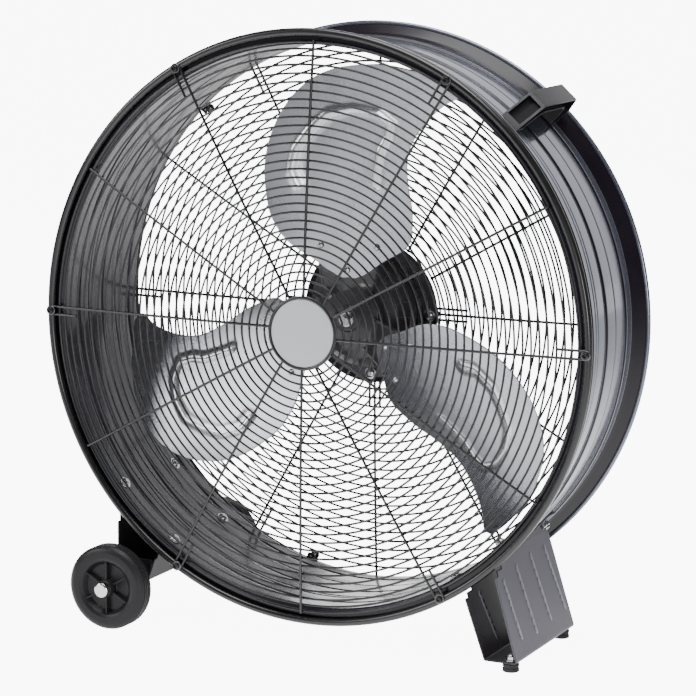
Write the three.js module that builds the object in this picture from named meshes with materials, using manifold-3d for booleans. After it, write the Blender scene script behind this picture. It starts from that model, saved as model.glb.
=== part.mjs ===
// Drum fan on a two-wheel stand: a beaded steel drum between two wire grilles, a motor hung
// in the middle of the rear grille, three pressed aluminium blades, a strap handle, a folded
// bracket with an axle and two wheels on one side and a folded bracket with two rubber feet
// on the other.
//
// Millimetres, +Z up. The fan axis runs along Y and the front faces -Y. The origin is on the
// floor, midway between the outer ends of the wheel axle.
import * as THREE from 'three';
import { mergeVertices } from 'three/addons/utils/BufferGeometryUtils.js';
import Module from 'manifold-3d';

const wasm = await Module();
wasm.setup();

// ---- driving dimensions -------------------------------------------------------------------
const RIM_R = 410;                 // outside of the front rim
const AXIS_Z = 440;                // fan axis above the floor
const DRUM_DEPTH = 233;            // front rim plane to rear edge
const FRONT_Y = -123.5;            // middle of the front rim tube
const REAR_Y = FRONT_Y + DRUM_DEPTH;
const DRUM_R = 389;                // outside of the drum wall
const SHEET = 2;                   // drum wall
const BEAD_YS = [-78, -13.5, 61];  // pressed beads round the drum
const BEAD_HEIGHT = 2.5;
const BEAD_HALF = 3.5;
const GAP = 0.3;                   // left between pieces that touch
const FACET = 1;                   // how far the drum's flats come in from its true round

const RIM_TUBE_R = 5.4;            // front rim tube
const DOME = 15;                   // how far the front grille bulges
const DISH = 14;                   // how far the rear grille dips towards the motor
const SPOKE_R = 1.35;
const RING_R = 0.95;
const SPOKES = 12;
const BADGE_R = 50.8;

const MOTOR_R = 80;
const MOTOR_FRONT_Y = 24;
const MOTOR_SPLIT_Y = 66;
const MOTOR_REAR_Y = 112;
const MOTOR_WALL = 3;
const MOTOR_BOLT_R = 90;           // circle of the four motor bolts
const SHAFT_R = 7.5;

const BLADE_ROOT_R = 58;
const BLADE_TIP_R = 361;
const BLADE_THICK = 2;
const BLADES = 3;

const WHEEL_R = 60;
const WHEEL_X = -288;
const WHEEL_FACE_Y = 181;          // outer face of each wheel, either side of the origin
const WHEEL_WIDTH = 31;
const AXLE_R = 6;

const FOOT_X = 300;
const FOOT_YS = [-127, 73];
const FOOT_R = 11.5;
const FOOT_H = 12;

const BRACKET_Y = [-127, 84];      // front and rear ends of both brackets
const BRACKET_SHEET = 2;
const BOLT_YS = [-103, 43];        // bracket bolts along the drum
const BOLT_R = 4;

const HANDLE_ANGLE = 47.8;
const HANDLE_WIDTH = 29;
const HANDLE_WEB = 2;              // wall that closes the handle's upper side
const HANDLE_SCREWS = [-52, 72];   // where its two screws sit along the drum

const rad = THREE.MathUtils.degToRad;

// ---- finishes -----------------------------------------------------------------------------
const finish = (color, roughness, metalness) =>
  new THREE.MeshStandardMaterial({ color, roughness, metalness });
const drumPaint = finish(0x57565f, 0.3, 0.5);
const blackPaint = finish(0x232225, 0.35, 0.4);
const bracketPaint = finish(0x4a4952, 0.35, 0.4);
const blackWire = finish(0x151516, 0.4, 0.5);
const badgeGrey = finish(0xb9c0c3, 0.4, 0.3);
const aluminium = finish(0xb9b8c0, 0.3, 0.9);
const zinc = finish(0xc9cacc, 0.3, 1.0);
const moulded = finish(0x3a393d, 0.55, 0.0);
const rubber = finish(0x26262a, 0.8, 0.0);
const motorPaint = finish(0x1b1a1c, 0.45, 0.3);
const copper = finish(0xb06a3c, 0.4, 0.9);
const laminations = finish(0x6d6f73, 0.5, 0.8);

// ---- solids -------------------------------------------------------------------------------
/** A closed geometry as a manifold solid, its faces turned outwards. */
function solid(geometry) {
  const bare = geometry.clone();
  bare.deleteAttribute('normal');
  bare.deleteAttribute('uv');
  const merged = mergeVertices(bare, 1e-3);
  const vertProperties = new Float32Array(merged.attributes.position.array);
  const triVerts = new Uint32Array(merged.index.array);
  if (signedVolume(vertProperties, triVerts) < 0) {
    for (let i = 0; i < triVerts.length; i += 3) {
      [triVerts[i + 1], triVerts[i + 2]] = [triVerts[i + 2], triVerts[i + 1]];
    }
  }
  return new wasm.Manifold(new wasm.Mesh({ numProp: 3, vertProperties, triVerts }));
}

function signedVolume(points, triangles) {
  const [a, b, c] = [new THREE.Vector3(), new THREE.Vector3(), new THREE.Vector3()];
  let total = 0;
  for (let i = 0; i < triangles.length; i += 3) {
    a.fromArray(points, triangles[i] * 3);
    b.fromArray(points, triangles[i + 1] * 3);
    c.fromArray(points, triangles[i + 2] * 3);
    total += a.dot(b.cross(c)) / 6;
  }
  return total;
}

function geometryOf(manifold) {
  const mesh = manifold.getMesh();
  const geometry = new THREE.BufferGeometry();
  geometry.setAttribute('position', new THREE.BufferAttribute(mesh.vertProperties, 3));
  geometry.setIndex(new THREE.BufferAttribute(mesh.triVerts, 1));
  geometry.computeVertexNormals();
  return geometry;
}

const joined = (solids) => solids.reduce((all, next) => all.add(next));
const cut = (body, tools) => body.subtract(joined(tools));

/** Turned solid about the Y axis from [radius, y] points; a bored one closes on itself. */
function turned(points, segments) {
  const profile = points.map(([r, y]) => new THREE.Vector2(r, y));
  if (points[0][0] > 0) profile.push(profile[0].clone());
  return solid(new THREE.LatheGeometry(profile, segments));
}

/** Plain round bar or bored ring along Y. */
const bar = (r, y0, y1, segments) => turned([[0, y0], [r, y0], [r, y1], [0, y1]], segments);
const ring = (r0, r1, y0, y1, segments) =>
  turned([[r0, y0], [r1, y0], [r1, y1], [r0, y1]], segments);

/** Outline of [x, z] points drawn out along Y from y0 to y1. */
function extrudedY(points, y0, y1) {
  const shape = new THREE.Shape(points.map(([x, z]) => new THREE.Vector2(x, z)));
  const geometry = new THREE.ExtrudeGeometry(shape, { depth: y1 - y0, bevelEnabled: false });
  return solid(geometry.rotateX(Math.PI / 2).translate(0, y1, 0));
}

/** Round wire through the given points. */
function wire(points, radius, sides, steps) {
  const circle = new THREE.Shape();
  circle.absarc(0, 0, radius, 0, Math.PI * 2, false);
  const path = points.length === 2
    ? new THREE.LineCurve3(points[0], points[1])
    : new THREE.CatmullRomCurve3(points);
  const section = new THREE.Shape(circle.getSpacedPoints(sides).slice(0, -1));
  return solid(new THREE.ExtrudeGeometry(section, { steps, extrudePath: path, curveSegments: 1 }));
}

/** Wire hoop about the Y axis. */
function hoop(ringRadius, wireRadius, y, sides, segments) {
  const geometry = new THREE.TorusGeometry(ringRadius, wireRadius, sides, segments);
  return solid(geometry.rotateX(Math.PI / 2).translate(0, y, 0));
}

/** Point at a radius and an angle in degrees about the fan axis, relative to that axis. */
const polar = (r, degrees, y) =>
  new THREE.Vector3(r * Math.cos(rad(degrees)), y, r * Math.sin(rad(degrees)));

/** Matrix that sends local +Y to the radial direction at an angle, out to a radius. */
function radialPlacement(degrees, y, z = AXIS_Z) {
  const radial = polar(1, degrees, 0);
  const along = new THREE.Vector3(0, 1, 0);
  const side = new THREE.Vector3().crossVectors(along, radial);
  const matrix = new THREE.Matrix4().makeBasis(along, radial, side);
  return matrix.setPosition(0, y, z);
}

const moved = (manifold, matrix) => manifold.transform(matrix.elements);
const shifted = (manifold, x, y, z) => manifold.translate([x, y, z]);

// ---- scene graph --------------------------------------------------------------------------
function piece(parent, name, manifold, material, matrix) {
  const mesh = new THREE.Mesh(geometryOf(manifold), material);
  mesh.name = name;
  if (matrix) mesh.applyMatrix4(matrix);
  parent.add(mesh);
  return mesh;
}

function subGroup(parent, x = 0, y = 0, z = 0) {
  const group = new THREE.Group();
  group.position.set(x, y, z);
  parent.add(group);
  return group;
}

const fan = new THREE.Group();
const onAxis = subGroup(fan, 0, 0, AXIS_Z);

// ---- drum ---------------------------------------------------------------------------------
/** Closed section of a sheet of the given thickness along a centre line of [r, y] points. */
function sheetSection(line, thickness) {
  const sides = [[], []];
  line.forEach(([r, y], i) => {
    const before = line[Math.max(i - 1, 0)];
    const after = line[Math.min(i + 1, line.length - 1)];
    const along = new THREE.Vector2(after[0] - before[0], after[1] - before[1]).normalize();
    const half = thickness / 2;
    sides[0].push([r - along.y * half, y + along.x * half]);
    sides[1].unshift([r + along.y * half, y - along.x * half]);
  });
  return [...sides[0], ...sides[1]];
}

const WALL_R = DRUM_R - SHEET / 2;
const FLANGE_Y = FRONT_Y + 7;
const SCREW_CIRCLE_R = RIM_R - 7;

function drumLine() {
  const beads = BEAD_YS.flatMap((y) => [
    [WALL_R, y - BEAD_HALF], [WALL_R + BEAD_HEIGHT, y], [WALL_R, y + BEAD_HALF]]);
  return [
    [RIM_R - 4, FLANGE_Y + 9], [RIM_R - 2.5, FLANGE_Y + 1], [RIM_R - 7, FLANGE_Y],
    [WALL_R + 3, FLANGE_Y], [WALL_R, FLANGE_Y + 3],
    ...beads,
    [WALL_R, REAR_Y - 27], [WALL_R + 4, REAR_Y - 20], [WALL_R + 15, REAR_Y - 4],
    [WALL_R + 18.5, REAR_Y - 1]];
}

/** Everything inside the drum's outer surface plus a clearance, for trimming what bolts on. */
function drumEnvelope() {
  const clear = DRUM_R + GAP;
  const beads = BEAD_YS.flatMap((y) => [
    [clear, y - BEAD_HALF], [clear + BEAD_HEIGHT, y], [clear, y + BEAD_HALF]]);
  const outline = [
    [0, FRONT_Y - 7], [RIM_R + 1, FRONT_Y - 7], [RIM_R + 1, FLANGE_Y + 11],
    [clear, FLANGE_Y + 11], ...beads, [clear, REAR_Y - 28], [clear + 22, REAR_Y - 2],
    [0, REAR_Y - 2]];
  return turned(outline, 96).translate([0, 0, AXIS_Z]);
}

// Six tabs inside the flare take the screws whose washers pinch the rear grille's rim.
const REAR_SCREW_R = 386.5;
const REAR_SCREW_ANGLES = [15, 75, 135, 195, 255, 315];
const REAR_TAB_Y = REAR_Y - 16;
const FOOT_BOLT_ANGLES = [-44, -56.4];
const WHEEL_BOLT_ANGLES = [-140.7, -124.6];
const drumHole = (degrees, y) => moved(
  bar(BOLT_R + GAP, DRUM_R - 12, DRUM_R + 12, 8), radialPlacement(degrees, y, 0));

function drumShell() {
  const wall = turned(sheetSection(drumLine(), SHEET), 48);
  const bolts = [...FOOT_BOLT_ANGLES, ...WHEEL_BOLT_ANGLES]
    .flatMap((angle) => BOLT_YS.map((y) => drumHole(angle, y)));
  const strapScrews = HANDLE_SCREWS.map((y) => moved(
    bar(2.3, DRUM_R - 12, DRUM_R + 12, 8), radialPlacement(HANDLE_ANGLE, y, 0)));
  const screws = [0, 1, 2, 3, 4, 5].map((i) => {
    const at = polar(SCREW_CIRCLE_R, 60 * i, 0);
    return shifted(bar(2.3, FLANGE_Y - 4, FLANGE_Y + 4, 6), at.x, 0, at.z);
  });
  const tabs = REAR_SCREW_ANGLES.map((angle) => extrudedY([[REAR_SCREW_R - 7, -7], [395, -7],
    [395, 7], [REAR_SCREW_R - 7, 7]], REAR_TAB_Y - 2, REAR_TAB_Y).rotate([0, -angle, 0]));
  const tabHoles = REAR_SCREW_ANGLES.map((angle) => {
    const at = polar(REAR_SCREW_R, angle, 0);
    return shifted(bar(2.3, REAR_TAB_Y - 6, REAR_TAB_Y + 4, 6), at.x, 0, at.z);
  });
  return cut(joined([wall, ...tabs]), [...bolts, ...strapScrews, ...screws, ...tabHoles]);
}
piece(onAxis, 'drum_shell', drumShell(), drumPaint);

// ---- grilles ------------------------------------------------------------------------------
const domeY = (r) => FRONT_Y - DOME * (1 - (r / RIM_R) ** 2);
const dishY = (r) => REAR_Y - 6 - DISH * (1 - (r / RIM_R) ** 2);

function spokes(depthAt, innerR, outerR) {
  const radii = [innerR, (innerR + outerR) / 2, outerR];
  return Array.from({ length: SPOKES }, (_, i) => wire(
    radii.map((r) => polar(r, i * 360 / SPOKES, depthAt(r))), SPOKE_R, 4, 2));
}
const hoops = (depthAt, radii) => radii.map((r) => hoop(r, RING_R * 1.4, depthAt(r), 4, 24));

function frontGrille() {
  const rim = hoop(RIM_R - RIM_TUBE_R, RIM_TUBE_R, FRONT_Y, 6, 48);
  const screwHoles = [0, 1, 2, 3, 4, 5].map((i) => {
    const at = polar(SCREW_CIRCLE_R, 60 * i, 0);
    return shifted(bar(2.3, FRONT_Y - 8, FRONT_Y + 8, 6), at.x, 0, at.z);
  });
  const wires = [...spokes(domeY, 46, RIM_R - RIM_TUBE_R), ...hoops(domeY, [47, 170, 290])];
  return cut(joined([rim, ...wires]), screwHoles);
}
piece(onAxis, 'front_grille', frontGrille(), blackWire);

const REAR_RIM_R = 396;
const REAR_RIM_TUBE_R = 3;
function rearGrille() {
  const rim = hoop(REAR_RIM_R, REAR_RIM_TUBE_R, dishY(REAR_RIM_R), 6, 48);
  const eyes = [0, 90, 180, 270].map((angle) => {
    const at = polar(MOTOR_BOLT_R, angle, dishY(MOTOR_BOLT_R));
    return shifted(ring(5, 8, at.y - SPOKE_R, at.y + SPOKE_R, 8), at.x, 0, at.z);
  });
  const wires = [...spokes(dishY, 97, REAR_RIM_R), ...hoops(dishY, [103, 200, 300])];
  const boltHoles = [0, 90, 180, 270].map((angle) => {
    const at = polar(MOTOR_BOLT_R, angle, dishY(MOTOR_BOLT_R));
    return shifted(bar(4.3, at.y - 6, at.y + 6, 8), at.x, 0, at.z);
  });
  return cut(joined([rim, ...wires, ...eyes]), boltHoles);
}
piece(onAxis, 'rear_grille', rearGrille(), blackWire);

const badgeBack = domeY(47) - RING_R * 1.4 - GAP;
piece(onAxis, 'badge_bezel', turned([
  [0, badgeBack - 1], [BADGE_R - 4, badgeBack - 1], [BADGE_R - 4, badgeBack - 4],
  [BADGE_R, badgeBack - 4], [BADGE_R, badgeBack], [0, badgeBack]], 36), moulded);
piece(onAxis, 'badge_disc', bar(BADGE_R - 4.3, badgeBack - 4, badgeBack - 1.3, 36), badgeGrey);

/** Screw along Y: washer and head in front, shank behind; y is the face it bears on. */
function faceScrew(y, headR, headH, washerR, shankR, shankLength) {
  return turned([[0, y + shankLength], [shankR, y + shankLength], [shankR, y],
    [washerR, y], [washerR, y - 1.2], [headR, y - 1.2], [headR * 0.8, y - headH],
    [0, y - headH]], 8);
}
for (let i = 0; i < 6; i += 1) {
  const front = polar(SCREW_CIRCLE_R, 60 * i, 0);
  const at = new THREE.Matrix4().makeTranslation(front.x, 0, front.z);
  piece(onAxis, `front_grille_screw_${i + 1}`,
    faceScrew(FRONT_Y - RIM_TUBE_R - GAP, 5, 4.5, 7, 1.9, 14), zinc, at);
}

/** Screw whose washer pinches the rear grille's rim towards a tab of the drum. */
REAR_SCREW_ANGLES.forEach((angle, i) => {
  const rear = polar(REAR_SCREW_R, angle, 0);
  const y = dishY(REAR_RIM_R) + REAR_RIM_TUBE_R + GAP;
  piece(onAxis, `rear_grille_screw_${i + 1}`, turned([[0, y + 4.5], [3.6, y + 4.5],
    [4.6, y + 1.2], [7, y + 1.2], [7, y], [1.9, y], [1.9, REAR_TAB_Y - 4],
    [0, REAR_TAB_Y - 4]], 8), zinc, new THREE.Matrix4().makeTranslation(rear.x, 0, rear.z));
});

// ---- motor --------------------------------------------------------------------------------
const BEARING_R = 17.5;
function frontHousing() {
  return turned([[SHAFT_R + 2, MOTOR_FRONT_Y], [44, MOTOR_FRONT_Y], [62, MOTOR_FRONT_Y + 9],
    [MOTOR_R - 4, MOTOR_FRONT_Y + 24], [MOTOR_R - 2, MOTOR_SPLIT_Y - GAP],
    [MOTOR_R - 2 - MOTOR_WALL, MOTOR_SPLIT_Y - GAP], [MOTOR_R - 7, MOTOR_FRONT_Y + 26],
    [60, MOTOR_FRONT_Y + 12], [BEARING_R + 5, MOTOR_FRONT_Y + 6],
    [BEARING_R + 5, MOTOR_FRONT_Y + 17], [BEARING_R + GAP, MOTOR_FRONT_Y + 17],
    [BEARING_R + GAP, MOTOR_FRONT_Y + 5], [SHAFT_R + 2, MOTOR_FRONT_Y + 5]], 36);
}
function rearHousing() {
  const inner = MOTOR_R - MOTOR_WALL;
  const cup = turned([[0, MOTOR_REAR_Y], [MOTOR_R - 6, MOTOR_REAR_Y], [MOTOR_R, MOTOR_REAR_Y - 6],
    [MOTOR_R, MOTOR_SPLIT_Y], [inner, MOTOR_SPLIT_Y], [inner, MOTOR_REAR_Y - 4],
    [BEARING_R + 5, MOTOR_REAR_Y - 4], [BEARING_R + 5, MOTOR_REAR_Y - 16],
    [BEARING_R + GAP, MOTOR_REAR_Y - 16], [BEARING_R + GAP, MOTOR_REAR_Y - 4],
    [0, MOTOR_REAR_Y - 4]], 36);
  const lugBack = dishY(MOTOR_BOLT_R) - SPOKE_R - GAP;
  const lugs = [0, 90, 180, 270].map((angle) => {
    const lug = extrudedY([[MOTOR_R - 2, -9], [MOTOR_BOLT_R + 7, -9], [MOTOR_BOLT_R + 12, -4],
      [MOTOR_BOLT_R + 12, 4], [MOTOR_BOLT_R + 7, 9], [MOTOR_R - 2, 9]], lugBack - 4, lugBack);
    return lug.rotate([0, -angle, 0]);
  });
  const holes = [0, 90, 180, 270].map((angle) => {
    const at = polar(MOTOR_BOLT_R, angle, 0);
    return shifted(bar(4.3, lugBack - 8, lugBack + 8, 8), at.x, 0, at.z);
  });
  return cut(joined([cup, ...lugs]), holes);
}
piece(onAxis, 'motor_front_housing', frontHousing(), motorPaint);
piece(onAxis, 'motor_rear_housing', rearHousing(), motorPaint);

const STATOR = [50, 86];
const ROTOR_R = 44;
piece(onAxis, 'stator_core', ring(ROTOR_R + 0.6, 71, STATOR[0], STATOR[1], 32), laminations);
piece(onAxis, 'stator_winding_front',
  ring(ROTOR_R + 4, 62, STATOR[0] - 8, STATOR[0] - GAP, 24), copper);
piece(onAxis, 'stator_winding_rear',
  ring(ROTOR_R + 4, 62, STATOR[1] + GAP, STATOR[1] + 8, 24), copper);
piece(onAxis, 'bearing_front', ring(SHAFT_R + GAP, BEARING_R,
  MOTOR_FRONT_Y + 5 + GAP, MOTOR_FRONT_Y + 16, 24), zinc);
piece(onAxis, 'bearing_rear', ring(SHAFT_R + GAP, BEARING_R,
  MOTOR_REAR_Y - 15, MOTOR_REAR_Y - 4 - GAP, 24), zinc);

[0, 90, 180, 270].forEach((angle, i) => {
  const at = polar(MOTOR_BOLT_R, angle, 0);
  const y = dishY(MOTOR_BOLT_R);
  const front = y - SPOKE_R - GAP - 4 - GAP;
  piece(onAxis, `motor_mount_bolt_${i + 1}`, turned([[0, front - 5], [6, front - 5],
    [6, front - 1.2], [8.5, front - 1.2], [8.5, front], [BOLT_R, front], [BOLT_R, y + 1.7],
    [8, y + 1.7], [8, y + 7], [0, y + 7]], 8), zinc,
  new THREE.Matrix4().makeTranslation(at.x, 0, at.z));
});

// ---- switch box on the back of the motor ---------------------------------------------------
const BOX = { half: 34, bottom: -34, top: 26, depth: 34, wall: 2.5, corner: 6 };
const boxOutline = (inset) => {
  const { half, bottom, top, corner } = BOX;
  const [x, low, high] = [half - inset, bottom + inset, top - inset];
  return [[-x + corner, low], [x - corner, low], [x, low + corner], [x, high - corner],
    [x - corner, high], [-x + corner, high], [-x, high - corner], [-x, low + corner]];
};
const BOX_FRONT_Y = MOTOR_REAR_Y + GAP;
function switchBox() {
  const outside = extrudedY(boxOutline(0), BOX_FRONT_Y, BOX_FRONT_Y + BOX.depth);
  const hollow = extrudedY(boxOutline(BOX.wall), BOX_FRONT_Y - 1,
    BOX_FRONT_Y + BOX.depth - BOX.wall);
  const glandHole = bar(8, -12, 12, 12).rotate([90, 0, 0])
    .translate([0, BOX_FRONT_Y + BOX.depth / 2, BOX.bottom]);
  const stemHole = bar(4.3, 0, BOX.depth + 4, 12).translate([0, BOX_FRONT_Y, 0]);
  return cut(outside, [hollow, glandHole, stemHole]);
}
piece(onAxis, 'switch_box', switchBox(), moulded);
piece(onAxis, 'cable_gland', turned([[4, -12], [9.5, -12], [9.5, -2], [12, -2], [12, 2],
  [7.7, 2], [7.7, 9], [4, 9]], 12)
  .rotate([90, 0, 0]).translate([0, BOX_FRONT_Y + BOX.depth / 2, BOX.bottom - 2 - GAP]),
moulded);
const KNOB_Y = BOX_FRONT_Y + BOX.depth + 0.8;
const knobRound = turned([[0, KNOB_Y - 12], [3.8, KNOB_Y - 12], [3.8, KNOB_Y], [18, KNOB_Y],
  [18, KNOB_Y + 4], [15.5, KNOB_Y + 6], [0, KNOB_Y + 6]], 24);
const knobGrip = extrudedY([[-3.5, -14], [3.5, -14], [3.5, 14], [0, 16.5], [-3.5, 14]],
  KNOB_Y + 5, KNOB_Y + 15);
piece(onAxis, 'speed_knob', knobRound.add(knobGrip), moulded);

// ---- rotor, spider and blades --------------------------------------------------------------
piece(onAxis, 'motor_shaft', turned([[0, -17], [5, -17], [5, -2], [SHAFT_R, -2],
  [SHAFT_R, MOTOR_REAR_Y - 6], [0, MOTOR_REAR_Y - 6]], 16), zinc);
piece(onAxis, 'rotor_core', ring(SHAFT_R + GAP, ROTOR_R, STATOR[0], STATOR[1], 32), laminations);

/**
 * Depth of the blade's middle surface at radius r and arc length s (both in mm, s towards
 * the leading edge): pitched about 25 degrees, flatter outwards, and slightly cupped.
 */
function bladeDepth(r, s) {
  const out = r / RIM_R - 0.5;
  const across = s / RIM_R;
  const depth = 0.2704 - 0.0716 * out - 0.018 * out * out
    + across * (-0.4406 + 0.3204 * out) + 0.2574 * across * across;
  return depth * RIM_R + FRONT_Y;
}

/** Leading and trailing edges: [radius, leading angle, trailing angle], mm and degrees. */
const BLADE_EDGES = [
  [58, 5, -9], [82, 23, -25], [123, 34, -35], [164, 35, -29], [205, 31, -21.5], [246, 26, -18],
  [287, 19.5, -19], [328, 11, -22], [350, 5, -24.5], [361, -3, -26]];

function edgeAngle(r, which) {
  const last = BLADE_EDGES.length - 2;
  const i = Math.min(BLADE_EDGES.findIndex((row) => row[0] > r) - 1, last);
  const from = i < 0 ? last : i;
  const [a, b] = [BLADE_EDGES[from], BLADE_EDGES[from + 1]];
  return a[which] + (b[which] - a[which]) * (r - a[0]) / (b[0] - a[0]);
}

/** Closed sheet over a grid: at(u, v) gives the middle surface, thickness runs along Y. */
function gridSheet(at, nu, nv, thickness) {
  const points = [];
  const index = [];
  for (const side of [-0.5, 0.5]) {
    for (let i = 0; i <= nu; i += 1) {
      for (let j = 0; j <= nv; j += 1) {
        const p = at(i / nu, j / nv);
        points.push(p.x, p.y + side * thickness, p.z);
      }
    }
  }
  const layer = (nu + 1) * (nv + 1);
  const id = (i, j, k) => k * layer + i * (nv + 1) + j;
  const quad = (a, b, c, d) => index.push(a, b, c, a, c, d);
  for (let i = 0; i < nu; i += 1) {
    for (let j = 0; j < nv; j += 1) {
      quad(id(i, j, 0), id(i + 1, j, 0), id(i + 1, j + 1, 0), id(i, j + 1, 0));
      quad(id(i, j, 1), id(i, j + 1, 1), id(i + 1, j + 1, 1), id(i + 1, j, 1));
    }
    quad(id(i, 0, 0), id(i, 0, 1), id(i + 1, 0, 1), id(i + 1, 0, 0));
    quad(id(i, nv, 0), id(i + 1, nv, 0), id(i + 1, nv, 1), id(i, nv, 1));
  }
  for (let j = 0; j < nv; j += 1) {
    quad(id(0, j, 0), id(0, j + 1, 0), id(0, j + 1, 1), id(0, j, 1));
    quad(id(nu, j, 0), id(nu, j, 1), id(nu, j + 1, 1), id(nu, j + 1, 0));
  }
  const geometry = new THREE.BufferGeometry();
  geometry.setAttribute('position', new THREE.Float32BufferAttribute(points, 3));
  geometry.setIndex(index);
  return solid(geometry);
}

const FIRST_BLADE_ANGLE = 88.5;
function bladePoint(r, degrees, turn, back) {
  const depth = bladeDepth(r, r * rad(degrees)) + back;
  return polar(r, FIRST_BLADE_ANGLE + turn + degrees, depth);
}
function blade(turn) {
  return gridSheet((u, v) => {
    const r = BLADE_ROOT_R + (BLADE_TIP_R - BLADE_ROOT_R) * u;
    const degrees = THREE.MathUtils.lerp(edgeAngle(r, 2), edgeAngle(r, 1), v);
    return bladePoint(r, degrees, turn, 0);
  }, 12, 6, BLADE_THICK);
}

const SPIDER_THICK = 3;
const SPIDER_BACK = BLADE_THICK / 2 + SPIDER_THICK / 2 + GAP;
/** Arm of the spider: flat at the hub, turning into the blade's pitch further out. */
function spiderArm(turn) {
  return gridSheet((u, v) => {
    const r = 24 + 100 * u;
    const halfWidth = 20 + 14 * u;
    const s = THREE.MathUtils.lerp(-halfWidth, halfWidth, v);
    const pitched = bladeDepth(r, s) + SPIDER_BACK;
    const flat = SPIDER_BACK + 1;
    const blend = THREE.MathUtils.smoothstep(r, 30, 56);
    const angle = FIRST_BLADE_ANGLE + turn + THREE.MathUtils.radToDeg(s / r);
    return polar(r, angle, THREE.MathUtils.lerp(flat, pitched, blend));
  }, 6, 4, SPIDER_THICK);
}
function spider() {
  const turns = Array.from({ length: BLADES }, (_, i) => i * 360 / BLADES);
  const hub = turned([[SHAFT_R + GAP, -1], [40, 1], [40, 5], [17, 5], [17, 19],
    [SHAFT_R + GAP, 19]], 24);
  return joined([hub, ...turns.map(spiderArm)])
    .subtract(bar(SHAFT_R + GAP, -20, 40, 24));
}
piece(onAxis, 'blade_spider', spider(), blackPaint);
for (let i = 0; i < BLADES; i += 1) {
  piece(onAxis, `blade_${i + 1}`, blade(-i * 360 / BLADES), aluminium);
}
piece(onAxis, 'hub_nut', ring(6.2, 10.5, -12, -2 - GAP, 6), zinc);

// ---- handle -------------------------------------------------------------------------------
/** Block with an outline in (along the drum, out from the axis), drawn across the handle. */
function acrossHandle(points, from, to) {
  const outline = new THREE.Shape();
  outline.setFromPoints(points.map(([along, out]) => new THREE.Vector2(along, out)));
  const geometry = new THREE.ExtrudeGeometry(outline, { depth: to - from, bevelEnabled: false });
  return solid(geometry.translate(0, 0, from).applyMatrix4(radialPlacement(HANDLE_ANGLE, 0)));
}

/** Strap handle, open to the fingers from its lower side and closed by a web on the upper. */
function handle() {
  const half = HANDLE_WIDTH / 2;
  const strap = acrossHandle([[-64, 386], [-62, 396], [-31, 431], [-25, 434], [80, 436],
    [87, 432], [97, 413], [82, 386], [60, 386], [66, 400], [64, 416], [58, 420], [-12, 418],
    [-20, 414], [-38, 398], [-42, 386]], -half, half);
  const web = acrossHandle([[-45, 386], [-41, 399], [-22, 417], [-12, 421], [59, 423],
    [67, 417], [69, 400], [63, 386]], -half, -half + HANDLE_WEB);
  const screwHoles = HANDLE_SCREWS.map((y) => moved(bar(2.3, 380, 402, 8),
    radialPlacement(HANDLE_ANGLE, y)));
  return cut(strap.add(web), [drumEnvelope(), ...screwHoles]);
}
piece(fan, 'handle', handle(), moulded);
HANDLE_SCREWS.forEach((y, i) => {
  const inside = DRUM_R - SHEET - FACET - GAP;
  piece(fan, `handle_screw_${i + 1}`, moved(turned([[0, inside - 4], [4.5, inside - 3],
    [4.5, inside], [1.9, inside], [1.9, 400], [0, 400]], 8),
  radialPlacement(HANDLE_ANGLE, y)), zinc);
});

// ---- brackets -----------------------------------------------------------------------------
/** Tab that lies on the drum between two angles, either side of one bolt. */
function drumTab(fromAngle, toAngle, y) {
  const steps = 4;
  const arc = (r) => Array.from({ length: steps + 1 }, (_, i) => {
    const p = polar(r, fromAngle + (toAngle - fromAngle) * i / steps, 0);
    return [p.x, p.z + AXIS_Z];
  });
  const outline = [...arc(DRUM_R - 2), ...arc(DRUM_R + GAP + TAB_THICK).reverse()];
  return extrudedY(outline, y - 13, y + 13);
}
const TAB_THICK = 2.5;

/** Strip of bent sheet: [x, z] corners of its outer side, thickened to the inner side. */
function bentSheet(outer, inner, y0, y1) {
  return extrudedY([...outer, ...inner.slice().reverse()], y0, y1);
}

function boltTools(angles) {
  return angles.flatMap((angle) => BOLT_YS.map((y) => moved(
    bar(BOLT_R + GAP, DRUM_R - 8, DRUM_R + 14, 8), radialPlacement(angle, y))));
}

const FOOT_PLATE_Z = FOOT_H + GAP;
function footBracket() {
  const t = BRACKET_SHEET;
  const bottom = FOOT_PLATE_Z;
  const channel = bentSheet(
    [[224, 140], [266, bottom], [313, bottom], [270, 178]],
    [[226.2, 140.6], [267.6, bottom + t], [311.2, bottom + t], [267.8, 177.4]],
    BRACKET_Y[0], BRACKET_Y[1]);
  const tabs = [
    ...BOLT_YS.map((y) => drumTab(-41, -46.5, y)),
    ...BOLT_YS.map((y) => drumTab(-53.5, -59.5, y))];
  const feet = FOOT_YS.map((y) => footHole(y));
  return cut(joined([channel, ...tabs]),
    [drumEnvelope(), ...boltTools(FOOT_BOLT_ANGLES), ...feet]);
}
const footHole = (y) => bar(BOLT_R + GAP, -20, 20, 8).rotate([90, 0, 0])
  .translate([FOOT_X, footCentreY(y), FOOT_PLATE_Z]);
const footCentreY = (y) => Math.max(y, BRACKET_Y[0] + 13);

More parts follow.
